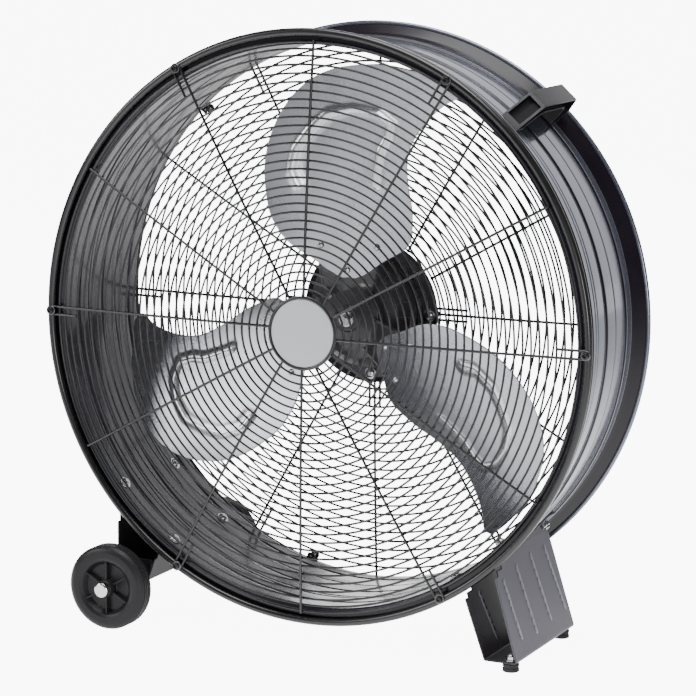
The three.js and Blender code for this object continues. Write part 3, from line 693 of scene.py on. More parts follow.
class FinishShop:
    """Makes each finish's material once."""

    DUST: Colour = (0.4, 0.39, 0.37)
    COAT_ROUGH = 0.08

    def __init__(self) -> None:
        """Starts with the shared groups and no material."""
        self.groups = NodeGroups()
        self.made: dict[str, bpy.types.Material] = {}

    def material(self, finish: Finish) -> bpy.types.Material:
        """Gives the material of a finish.

        Args:
            finish: the finish.

        Returns:
            Its material, built on first use.
        """
        if finish.name in self.made:
            return self.made[finish.name]
        material = bpy.data.materials.new(finish.name)
        material.use_nodes = True
        nodes = Nodes(material.node_tree)
        groups = self.groups
        skin = nodes.add("ShaderNodeGroup", node_tree=groups.skins[finish.skin],
                         Relief=finish.relief)
        paint = nodes.mix(skin.outputs["Tone"], (*finish.colour, 1), (*finish.shade, 1))
        worn = nodes.add("ShaderNodeGroup", node_tree=groups.edge_wear, Under=paint,
                         Over=(*finish.bare, 1), Amount=finish.wear)
        dusty = nodes.add("ShaderNodeGroup", node_tree=groups.settled_dust,
                          Under=worn.outputs["Color"], Over=(*self.DUST, 1),
                          Amount=finish.dust)
        rough = nodes.maths("ADD", nodes.remap(skin.outputs["Tone"], 0, 1,
                                               finish.rough - 0.03, finish.rough + 0.05),
                            nodes.maths("MULTIPLY", dusty.outputs["Mask"], 0.4))
        bump = nodes.add("ShaderNodeBump", Height=skin.outputs["Height"], Distance=MM,
                         Strength=1.0)
        shader = material.node_tree.nodes["Principled BSDF"]
        for label, value in {"Base Color": dusty.outputs["Color"], "Roughness": rough,
                             "Normal": bump.outputs["Normal"], "Metallic": finish.metal,
                             "Specular IOR Level": finish.shine, "Coat Weight": finish.coat,
                             "Coat Roughness": self.COAT_ROUGH}.items():
            nodes.feed(shader.inputs[label], value)
        self.made[finish.name] = material
        return material


# Sub-assemblies

@dataclass
class SubAssembly:
    """A group of pieces that ride on one body.

    Attributes:
        shop: makes the materials.
        body: name of the body that the pieces ride on.
    """

    shop: FinishShop
    body: str = "frame"

    def fit(self, piece: bpy.types.Object, finish: Finish, *nodes: str) -> bpy.types.Object:
        """Dresses a piece and puts it on its body.

        Args:
            piece: the piece, in place.
            finish: its finish.
            nodes: CAD nodes that it stands for.

        Returns:
            The piece.
        """
        piece.data.materials.append(self.shop.material(finish))
        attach(piece, self.body)
        if nodes:
            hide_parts(*nodes)
        LOG.info("%s on %s, %s", piece.name, self.body, finish.name)
        return piece

    def turned(self, name: str, outline: Sequence[Point], rounding: float, segments: int,
               place: Matrix, finish: Finish, *nodes: str) -> None:
        """Turns a rounded outline about the local Y axis and fits it.

        Args:
            name: name of the piece.
            outline: [radius, y] corners; one that starts off the axis closes on itself.
            rounding: radius of its corners.
            segments: divisions round the axis.
            place: matrix from the local frame to the row frame.
            finish: its finish.
            nodes: CAD nodes that it stands for.
        """
        profile = fillet(outline, rounding, closed=outline[0][0] > 0)
        self.fit(lathe(name, profile, segments, place), finish, *nodes)

    def paint_more(self, piece: bpy.types.Object, *finishes: Finish) -> None:
        """Gives a fitted piece further materials for some of its faces."""
        for finish in finishes:
            piece.data.materials.append(self.shop.material(finish))

    def keep(self, node: str, finish: Finish) -> None:
        """Gives a CAD node that stays its finish."""
        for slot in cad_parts[node].material_slots:
            slot.material = self.shop.material(finish)
        LOG.info("%s kept, %s", node, finish.name)


@dataclass
class Drum(SubAssembly):
    """The beaded drum between the guards.

    Attributes:
        sheet: thickness of the wall.
        strong_beads: places of the high beads behind the rim's plane.
        faint_beads: places of the low beads.
        flare_start: where the wall starts to widen.
    """

    sheet: float = 2.0
    strong_beads: Sequence[float] = (45.5, 110.0, 184.5)
    faint_beads: Sequence[float] = (71.0, 79.0, 146.0)
    flare_start: float = 208.0

    def bead(self, place: float, height: float, half: float) -> list[Point]:
        """Rounded ridge on the wall's line, with a flat step at each side."""
        shares = [k / 8 for k in range(9)]
        ridge = [(WALL_R + height * (1 - math.cos(2 * math.pi * t)) / 2,
                  place + half * (2 * t - 1)) for t in shares]
        return [(WALL_R, place - half - 0.8), *ridge, (WALL_R, place + half + 0.8)]

    def line(self) -> list[Point]:
        """Middle line of the sheet, as (radius, distance behind the rim)."""
        front = fillet([(402.5, 17), (406.5, 16.5), (407.5, 10), (403.5, 7), (391, 7),
                        (WALL_R, 9), (WALL_R, 22)], 3)
        beads = sorted([(y, 2.6, 3.6) for y in self.strong_beads]
                       + [(y, 0.7, 2.4) for y in self.faint_beads])
        wall = [point for y, height, half in beads for point in self.bead(y, height, half)]
        rear = [(WALL_R, 204)] + fillet(
            [(WALL_R, 205), (WALL_R, self.flare_start), (WALL_R + 4, 214),
             (WALL_R + 15, 228), (WALL_R + 17.5, 231.5)], 5)
        return front + wall + rear

    def section(self) -> list[Point]:
        """Closed section of the wall, in the row's Y."""
        line = self.line()
        inner: list[Point] = []
        outer: list[Point] = []
        for index, (radius, y) in enumerate(line):
            before = Vector(line[max(index - 1, 0)])
            after = Vector(line[min(index + 1, len(line) - 1)])
            along = (after - before).normalized() * self.sheet / 2
            inner.append((radius - along.y, FRONT_Y + y + along.x))
            outer.append((radius + along.y, FRONT_Y + y - along.x))
        return inner + outer[::-1]

    def paint_of(self, centre: Vector, normal: Vector) -> int:
        """Which of the three lit and shaded copies of the drum's paint a face of the wall has.

        Args:
            centre: middle of the face.
            normal: its outward direction.

        Returns:
            0 for the lit outside, 1 for the painted shade inside and 2 for the painted dark
            reflection on the flare and the sides of the beads.
        """
        outward = Vector((centre.x - AXIS.x, 0, centre.z - AXIS.z)).normalized()
        if normal.dot(outward) < 0:
            return 1
        bead_side = abs(normal.y) > 0.5
        return 2 if bead_side or centre.y > FRONT_Y + self.flare_start else 0

    def build(self) -> None:
        """Makes the wall, the rolled edge and the grille tabs."""
        wall = lathe("drum_wall", self.section(), 256, on_axis(), 50)
        self.fit(wall, DRUM_LIT_OUTSIDE, "drum_shell")
        self.paint_more(wall, DRUM_SHADED_INSIDE, DRUM_DARK_REFLECTION)
        # Painted light by face: the lit copy outside, painted shade inside, and painted dark
        # reflection on the flare and the bead sides.
        for face in wall.data.polygons:
            face.material_index = self.paint_of(face.center / MM, face.normal)
        # The rolled edge takes the lit copy, which gives it a highlight line.
        edge = wires("drum_rear_roll", [hoop(WALL_R + 17.6, REAR_Y - 3, 200)], 3.4, True)
        self.fit(edge, DRUM_LIT_OUTSIDE)
        outline = [(381.5, -5.5), (392.5, -7), (392.5, 7), (381.5, 5.5)]
        for k in range(6):
            turn = on_axis() @ spin(-15 - 60 * k) @ UPRIGHT
            tab = prism(f"drum_tab_{k + 1}", outline, 16 - REAR_Y, 17.6 - REAR_Y, turn, 0.6)
            # The tabs take the painted shade copy of the inside.
            self.fit(tab, DRUM_SHADED_INSIDE)


@dataclass
class Guard(SubAssembly):
    """A wire guard of hoops on radial spokes.

    Attributes:
        name: start of its pieces' names.
        node: CAD node that it stands for.
        rim_r: radius of the rim's middle line.
        rim_tube: radius of the rim's tube.
        first: radius of the innermost hoop.
        pitch: from hoop to hoop.
        hoops: how many evenly spaced hoops.
        outer: radii of the closer hoops beside the rim.
        bulge: how far the middle stands towards the front.
        rim_y: place of the rim's plane.
        side: -1 where the spokes lie in front of the hoops, 1 where they lie behind.
        ring_r: radius of a hoop's wire.
        spoke_r: radius of a spoke's wire.
        spokes: how many spokes.
    """

    name: str = "front_guard"
    node: str = "front_grille"
    rim_r: float = 404.6
    rim_tube: float = 5.4
    first: float = 59.8
    pitch: float = 11.6
    hoops: int = 28
    outer: Sequence[float] = (382.2, 391.5)
    bulge: float = -15.0
    rim_y: float = FRONT_Y
    side: int = -1
    ring_r: float = 1.55
    spoke_r: float = 1.85
    spokes: int = 12

    def radii(self) -> list[float]:
        """Radii of all the hoops, from the innermost."""
        return [self.first + self.pitch * k for k in range(self.hoops)] + list(self.outer)

    def depth(self, radius: float) -> float:
        """Place of the guard's surface at a radius."""
        return self.rim_y + self.bulge * (1 - (radius / RIM_R) ** 2)

    def spoke(self, degrees: float, inner: float, outer: float,
              offset: float = 0.0) -> list[Vector]:
        """Points of a spoke, moved sideways by an offset."""
        side = polar(1, degrees + 90) - polar(0, degrees + 90)
        lift = self.side * (self.ring_r + self.spoke_r) * 0.85
        radii = [inner + (outer - inner) * k / 24 for k in range(25)]
        return [polar(r, degrees, self.depth(r) + lift) + side * offset for r in radii]

    def build_rim_and_hoops(self) -> None:
        """Makes the rim tube, the hoops and their welds."""
        rim = wires(f"{self.name}_rim", [hoop(self.rim_r, self.rim_y, 256)], self.rim_tube,
                    True)
        rim.data.bevel_resolution = 5
        self.fit(rim, WIRE, self.node)
        radii = self.radii()
        rings = [hoop(r, self.depth(r)) for r in radii]
        self.fit(wires(f"{self.name}_hoops", rings, self.ring_r, True), WIRE)
        angles = [360 * k / self.spokes for k in range(self.spokes)]
        welds = [polar(r, a, self.depth(r) + self.side * 0.9) for r in radii for a in angles]
        self.fit(blobs(f"{self.name}_welds", welds, 1.45), WIRE)


@dataclass
class FrontGuard(Guard):
    """Front guard: every second spoke turns back round a screw.

    Attributes:
        screw_r: radius of the circle of screws.
        inner_r: radius where the spokes start.
        return_length: how far a spoke's end runs back beside it.
    """

    screw_r: float = 402.8
    inner_r: float = 48.0
    return_length: float = 38.0

    def hairpin(self, degrees: float) -> list[Vector]:
        """Points of a spoke that goes round its screw and comes back."""
        half = 5.6
        bend = self.screw_r - 3
        out = self.spoke(degrees, self.inner_r, bend, -half)
        lift = out[-1].y
        side = polar(1, degrees + 90) - polar(0, degrees + 90)
        turn = []
        for k in range(1, 12):
            angle = math.pi * k / 12
            reach = bend + half * math.sin(angle)
            turn.append(polar(reach, degrees, lift) - side * half * math.cos(angle))
        back = self.spoke(degrees, bend - self.return_length, bend, half)
        return out + turn + back[::-1]

    def build_spokes(self) -> None:
        """Makes the plain spokes and the hairpins."""
        plain = [self.spoke(28.9 + 60 * k, self.inner_r, self.outer[-1] + 3) for k in range(6)]
        pins = [self.hairpin(60 * k) for k in range(6)]
        self.fit(wires("front_guard_spokes", plain, self.spoke_r), WIRE)
        self.fit(wires("front_guard_hairpins", pins, self.spoke_r), WIRE)

    def build_screws(self) -> None:
        """Makes the washers and socket heads on the rim."""
        washer = [(0, 0), (6.6, 0), (7.0, -0.8), (6.4, -1.8), (0, -1.8)]
        head = [(0, 12), (1.9, 12), (1.9, -1.6), (5.2, -1.6), (5.2, -3), (4.2, -5.2),
                (2.3, -6), (1.9, -3.2), (0, -3.2)]
        for k in range(6):
            at = polar(self.screw_r, 60 * k)
            place = shift(at.x, self.rim_y - self.rim_tube - 0.4, at.z)
            self.turned(f"front_screw_washer_{k + 1}", washer, 0.4, 40, place, WASHER)
            self.turned(f"front_screw_{k + 1}", head, 1.0, 36, place, DARK_STEEL,
                        f"front_grille_screw_{k + 1}")

    def build_badge(self) -> None:
        """Makes the plain badge and its ring."""
        place = on_axis(self.depth(47) - 1.6)
        ring = [(0, 0), (50.8, 0), (50.8, -4.4), (48.6, -5), (47.2, -4.4), (47, -1.2),
                (0, -1.2)]
        self.turned("badge_ring", ring, 0.7, 96, place, BADGE_RING, "badge_bezel")
        disc = [(0, -1.3), (46.7, -1.3), (46.7, -3.2), (45.4, -4.1), (0, -4.9)]
        self.turned("badge_plate", disc, 0.8, 96, place, BADGE, "badge_disc")

    def build(self) -> None:
        """Makes the whole front guard."""
        self.build_rim_and_hoops()
        self.build_spokes()
        self.build_screws()
        self.build_badge()


@dataclass
class RearGuard(Guard):
    """Rear guard, which carries the motor on four of its spokes.

    Attributes:
        bolt_r: radius of the motor's bolt circle.
    """

    name: str = "rear_guard"
    node: str = "rear_grille"
    rim_r: float = 396.0
    rim_tube: float = 3.0
    first: float = 101.9
    pitch: float = 13.2
    hoops: int = 22
    outer: Sequence[float] = ()
    bulge: float = -14.0
    rim_y: float = REAR_Y - 6
    side: int = 1
    bolt_r: float = 90.0

    def build_spokes(self) -> None:
        """Makes the spokes and the eyes round the motor's bolts."""
        spokes = []
        for k in range(self.spokes):
            angle = 360 * k / self.spokes
            at_bolt = angle % 90 == 0
            inner = self.bolt_r + 6 if at_bolt else self.first - 3
            spokes.append(self.spoke(angle, inner, self.rim_r))
            if at_bolt:
                spokes += [self.spoke(angle, self.bolt_r, self.bolt_r + 52, s) for s in (-8, 8)]
            if angle % 60 == 0:
                spokes.append(self.spoke(angle, self.rim_r - 44, self.rim_r, 9.5))
        self.fit(wires("rear_guard_spokes", spokes, self.spoke_r), WIRE)
        lift = self.depth(self.bolt_r) + self.side * 1.9
        bolts = [polar(self.bolt_r, 90 * k) for k in range(4)]
        eyes = [hoop(8.0, lift, 32, shift(at.x, 0, at.z)) for at in bolts]
        self.fit(wires("rear_guard_eyes", eyes, self.spoke_r, True), WIRE)

    def build_screws(self) -> None:
        """Makes the screws whose washers pinch the rim."""
        shape = [(0, 4.6), (1.2, 4.6), (1.4, 3.2), (2.6, 4.5), (4, 3.6), (4.8, 1.4), (7, 1.2),
                 (7, 0), (1.9, 0), (1.9, -16), (0, -16)]
        for k in range(6):
            node = f"rear_grille_screw_{k + 1}"
            at = middle(node)
            place = shift(at.x, corners(node)[1].y - 4.5, at.z)
            self.turned(f"rear_screw_{k + 1}", shape, 0.4, 36, place, ZINC, node)

    def build(self) -> None:
        """Makes the whole rear guard."""
        self.build_rim_and_hoops()
        self.build_spokes()
        self.build_screws()


@dataclass
class Motor(SubAssembly):
    """Motor with finned bells, its bolts and its switch box.

    Attributes:
        body_r: radius of the body.
        flange_r: radius of the ring that the bolts go through.
        fins: cooling fins on each bell.
    """

    body_r: float = 80.0
    flange_r: float = 103.0
    fins: int = 20

    def build_front_bell(self) -> None:
        """Makes the front bell with its radial fins."""
        place = on_axis(corners("motor_front_housing")[0].y)
        shell = [(9.5, 0), (30, 0), (34, 3), (46, 3), (62, 9), (75, 24), (78, 41), (74, 41),
                 (70, 26), (58, 13), (9.5, 6)]
        self.turned("motor_front_bell", shell, 2.5, 96, place, MOTOR_PAINT,
                    "motor_front_housing")
        outline = [(-1.1, 36), (1.1, 36), (1.1, 76), (-1.1, 76)]
        for k in range(self.fins):
            turn = place @ spin(360 * k / self.fins) @ UPRIGHT
            fin = prism(f"motor_front_fin_{k + 1}", outline, -20, -1, turn, 0.5)
            for vertex in fin.data.vertices:
                local = place.inverted() @ (vertex.co / MM)
                if local.y < 10:
                    local.y = 1.5 if math.hypot(local.x, local.z) < 60 else 15.0
                vertex.co = (place @ local) * MM
            self.fit(fin, MOTOR_PAINT)

    def build_rear_bell(self) -> None:
        """Makes the body, the flange and the rear bell."""
        low, high = corners("motor_rear_housing")
        r, back = self.body_r, self.lug_back()
        shell = [(0, high.y), (r - 6, high.y), (r, high.y - 6), (r, low.y), (r - 3, low.y),
                 (r - 3, high.y - 10), (r - 8, high.y - 4), (0, high.y - 4)]
        self.turned("motor_rear_bell", shell, 2, 96, on_axis(), MOTOR_PAINT,
                    "motor_rear_housing")
        flange = [(r - 1, back - 4), (95, back - 4), (99, back - 3), (self.flange_r, back - 9),
                  (self.flange_r, back - 12), (97, back - 6), (r - 1, back - 8)]
        self.turned("motor_flange", flange, 1.2, 96, on_axis(), MOTOR_PAINT)
        outline = [(-1, 78), (1, 78), (0.7, 84.5), (-0.7, 84.5)]
        for k in range(self.fins * 2):
            turn = on_axis() @ spin(180 * k / self.fins) @ UPRIGHT
            fin = prism(f"motor_body_fin_{k + 1}", outline, 12 - back, -4 - low.y, turn, 0.4)
            self.fit(fin, MOTOR_PAINT)

    def lug_back(self) -> float:
        """Rear face of the lugs that the guard's wires lie on."""
        return middle("motor_mount_bolt_1").y + 0.35

    def build_bolts(self) -> None:
        """Makes the four mounting bolts with their washers."""
        back = self.lug_back()
        for k in range(4):
            node = f"motor_mount_bolt_{k + 1}"
            at, end = middle(node), corners(node)[1].y
            shape = [(0, back - 15), (3.4, back - 15.6), (6.2, back - 14), (6.4, back - 10.4),
                     (9, back - 10.2), (9, back - 8.8), (4, back - 8.6), (4, end - 6.4),
                     (8, end - 6.4), (8, end), (0, end)]
            self.turned(f"motor_bolt_{k + 1}", shape, 0.5, 36, shift(at.x, 0, at.z), ZINC, node)

    def build_switch_box(self) -> None:
        """Makes the switch box, its dial ring and marks, and the gland."""
        low, high = corners("switch_box")
        centre, half = (low + high) / 2, (high - low) / 2
        outline = fillet([(-half.x, -half.z), (half.x, -half.z), (half.x, half.z),
                          (-half.x, half.z)], 9, True, 6)
        place = shift(centre.x, 0, centre.z) @ UPRIGHT
        self.fit(prism("switch_cover", outline, -high.y, -low.y, place, 1.6), SWITCH,
                 "switch_box")
        ring = [(19.5, 0), (23, 0), (23, 0.8), (19.5, 0.8)]
        self.turned("switch_dial_ring", ring, 0.3, 64, on_axis(high.y), BADGE)
        mark = [(0, 0), (1.3, 0), (1.3, 0.5), (0, 0.5)]
        for k in range(4):
            place = on_axis(high.y + 0.5) @ spin(-90 - 45 * k) @ shift(27.0, -0.3, 0)
            self.turned(f"switch_mark_{k + 1}", mark, 0.2, 20, place, BADGE)
        at, mouth = middle("cable_gland"), corners("cable_gland")[0].z
        gland = [(4, 0), (8.4, 0), (9.6, 2), (9.6, 9.4), (12, 10), (12, 14), (7.7, 14),
                 (7.7, 21), (4, 21)]
        self.turned("gland_body", gland, 0.6, 48, shift(at.x, at.y, mouth) @ STANDING, SWITCH,
                    "cable_gland")

    def build(self) -> None:
        """Makes the motor and dresses the pieces inside it."""
        self.build_front_bell()
        self.build_rear_bell()
        self.build_bolts()
        self.build_switch_box()
        self.keep("stator_core", LAMINATIONS)
        for end in ("front", "rear"):
            self.keep(f"stator_winding_{end}", COPPER)
            self.keep(f"bearing_{end}", ZINC)


@dataclass
class Rotor(SubAssembly):
    """What turns: shaft, spider, blades, rivets and hub nut.

    Attributes:
        body: body that turns.
        blades: how many blades.
        first_angle: angle of the first blade.
        root: radius where a blade starts.
        tip: radius where a blade ends.
        sheet: thickness of a blade.
        edges: radius, leading angle and trailing angle at points of the outline.
        rib: middle line of the pressed rib, as radius and arc length.
        rivets: radius and angle of each of a blade's rivets.
        crest: height above which the rib takes a painted highlight.
    """

    body: str = "rotor"
    blades: int = 3
    first_angle: float = 88.5
    root: float = 58.0
    tip: float = 361.0
    sheet: float = 1.6
    edges: Sequence[tuple[float, float, float]] = (
        (58, 5, -9), (66, 15, -18), (82, 23, -25), (123, 34, -35), (164, 35, -29),
        (205, 31, -21.5), (246, 26, -18), (287, 19.5, -19), (328, 11, -22), (350, 3, -24.5),
        (361, -7, -23))
    rib: Sequence[Point] = (
        (196, 66), (217, 75), (247, 68), (269, 49), (288, 27), (295, -4), (293, -35),
        (281, -53), (262, -50), (240, -40), (215, -36), (192, -34))
    rivets: Sequence[Point] = ((109, 17.8), (108, -19.2), (69, 0.6))
    crest: float = 1.5

    def depth(self, radius: float, arc: float) -> float:
        """Place along the axis of a blade's middle surface.

        Args:
            radius: from the fan's axis.
            arc: arc length from the blade's middle line, towards the leading edge.

        Returns:
            The surface's Y, pitched about 25 degrees, flatter outwards and cupped.
        """
        out = radius / RIM_R - 0.5
        across = arc / RIM_R
        depth = (0.2704 - 0.0716 * out - 0.018 * out * out
                 + across * (-0.4406 + 0.3204 * out) + 0.2574 * across * across)
        return depth * RIM_R + FRONT_Y

    def rib_height(self, radius: float, arc: float) -> float:
        """Height of the pressed rib towards the front, steeper on its leading side."""
        here = Vector((radius, arc))
        gentle = min(capsule(here, Vector(a), Vector(b)) for a, b in self.rib_lines(-4.0))
        steep = min(capsule(here, Vector(a), Vector(b)) for a, b in self.rib_lines(0.0))
        width = 4.5 + 4.5 * smooth_step((arc + 20) / 70)
        return 3.4 * max(smooth_step(1 - steep / width),
                         0.7 * smooth_step(1 - gentle / (width + 5)))

    def lift_at(self, at: Vector, turn: float) -> float:
        """Height of the rib under a point of a blade."""
        radius = math.hypot(at.x - AXIS.x, at.z - AXIS.z)
        angle = math.degrees(math.atan2(at.z - AXIS.z, at.x - AXIS.x))
        degrees = (angle - self.first_angle - turn + 180) % 360 - 180
        return self.rib_height(radius, radius * math.radians(degrees))

    def rib_lines(self, moved: float) -> list[tuple[Point, Point]]:
        """Straight stretches of the rib's middle line, moved along the arc."""
        line = [(radius, arc + moved) for radius, arc in self.rib]
        return list(zip(line, line[1:]))

    def blade_point(self, share: float, across: float, turn: float) -> Vector:
        """Point of a blade at shares from root to tip and from trailing to leading edge."""
        radius = self.root + (self.tip - self.root) * share
        trailing = spline([(r, low) for r, high, low in self.edges], radius)
        leading = spline([(r, high) for r, high, low in self.edges], radius)
        degrees = trailing + (leading - trailing) * across
        arc = radius * math.radians(degrees)
        y = self.depth(radius, arc) - self.rib_height(radius, arc)
        return polar(radius, self.first_angle + turn + degrees, y)

    def build_blades(self) -> None:
        """Makes the blades and their rivets."""
        turns = [k * math.pi / 12 for k in range(6)]
        head = [(0, 5), *((5 * math.cos(t), -2.6 * math.sin(t)) for t in turns), (0, -2.6)]
        for k in range(self.blades):
            turn = -360.0 * k / self.blades
            blade = grid(f"fan_blade_{k + 1}",
                         lambda u, v: self.blade_point(u, v, turn), 150, 120, self.sheet, 80)
            self.fit(blade, ALUMINIUM, f"blade_{k + 1}")
            self.paint_more(blade, BLADE_RIB_HIGHLIGHT)
            # Faces high on the rib take the painted highlight copy.
            for face in blade.data.polygons:
                if self.lift_at(face.center / MM, turn) > self.crest:
                    face.material_index = 1
            for j, (radius, degrees) in enumerate(self.rivets):
                angle = self.first_angle + turn + degrees
                y = self.depth(radius, radius * math.radians(degrees)) - self.sheet / 2
                place = shift(*polar(radius, angle, y)) @ spin(-angle) @ spin(24, "X")
                rivet = lathe(f"rivet_{k + 1}_{j + 1}", head, 28, place, 60)
                self.fit(rivet, ZINC)

    def arm_point(self, share: float, across: float, turn: float) -> Vector:
        """Point of a spider arm at shares from the hub outwards and across the arm."""
        radius = 24 + 98 * share
        half = 21 + 17 * math.sin(min(share * 1.25, 1.0) * math.pi * 0.62)
        half *= math.sqrt(max(1 - max(share - 0.72, 0) ** 2 / 0.28 ** 2, 0.02))
        arc = (2 * across - 1) * half
        flat = self.sheet + 3.5
        pitched = self.depth(radius, arc) + self.sheet / 2 + 2
        y = flat + (pitched - flat) * smooth_step((radius - 30) / 26)
        return polar(radius, self.first_angle + turn + math.degrees(arc / radius), y)

    def build_spider(self) -> None:
        """Makes the hub and the arms that carry the blades."""
        hub = [(8, -3), (17, -3), (20, 0), (38, 0.5), (46, 3.5), (46, 6.5), (36, 5), (18, 5),
               (17, 19), (8, 19)]
        self.turned("spider_hub", hub, 1.5, 72, on_axis(), BLACK_PAINT, "blade_spider")
        for k in range(self.blades):
            turn = -360.0 * k / self.blades
            arm = grid(f"spider_arm_{k + 1}", lambda u, v: self.arm_point(u, v, turn), 40, 24, 3)
            self.fit(arm, BLACK_PAINT)

    def build_hub_nut(self) -> None:
        """Makes the nut and washer on the end of the shaft."""
        start = corners("hub_nut")[0].y
        place = on_axis(start)
        washer = [(5.4, 7), (11.4, 7), (11.4, 8.8), (5.4, 8.8)]
        self.turned("hub_washer", washer, 0.4, 48, place, ZINC)
        nut = prism("hub_nut_body", hexagon(7.2), -start - 6.8, -start - 0.6,
                    on_axis() @ UPRIGHT, 0.9)
        self.fit(nut, ZINC, "hub_nut")
        tip = [(0, -1.2), (2.2, -1.2), (3.4, 0.4), (3.4, 4), (0, 4)]
        self.turned("hub_stud_tip", tip, 0.4, 28, place, DARK_STEEL)

    def build(self) -> None:
        """Makes everything that turns."""
        self.build_blades()
        self.build_spider()
        self.build_hub_nut()
        self.keep("motor_shaft", ZINC)
        self.keep("rotor_core", LAMINATIONS)


@dataclass
class Handle(SubAssembly):
    """Strap handle on the upper right of the drum.

    Attributes:
        angle: where it sits round the drum.
        width: across the strap.
    """

    angle: float = 47.8
    width: float = 29.0

    def build(self) -> None:
        """Makes the strap, the web that closes its upper side, and its screws; the web and the
        strap's pockets take a near-black copy of the plastic, painted shade.
        """
        outline = [(-63.5, 391), (-60, 397), (-31, 431.5), (-25, 434.6), (80, 436), (87, 432),
                   (95.5, 413), (84, 391), (62, 391), (66, 402), (64, 415), (58, 420),
                   (-12, 419), (-22, 413), (-38, 399), (-42, 391)]
        place = radial_place(self.angle, 0)
        strap = prism("handle_strap", outline, -self.width / 2, self.width / 2, place, 2.4,
                      {1: (4.5, 7.0), 11: (4.0, 4.0), -1: (3.2, 15.0)})
        self.fit(strap, HANDLE, "handle")
        # The pockets take the painted shade copy.
        self.paint_more(strap, HANDLE_SHADED_HOLLOW)
        gap = [(-45, 391), (-41, 399), (-22, 417), (-12, 421), (59, 423), (67, 417), (69, 400),
               (64, 391)]
        web = prism("handle_web", gap, -self.width / 2 + 0.1, -self.width / 2 + 2, place, 0.4)
        # The web takes the painted shade copy.
        self.fit(web, HANDLE_SHADED_HOLLOW)
        inside = WALL_R - 1.3
        shape = [(0, inside - 2.4), (1.6, inside - 3.2), (3.4, inside - 3), (4.6, inside - 1.2),
                 (4.6, inside), (1.9, inside), (1.9, 398), (0, 398)]
        for k in range(2):
            node = f"handle_screw_{k + 1}"
            place = radial_place(self.angle, middle(node).y)
            self.turned(f"strap_screw_{k + 1}", shape, 0.4, 32, place, ZINC, node)


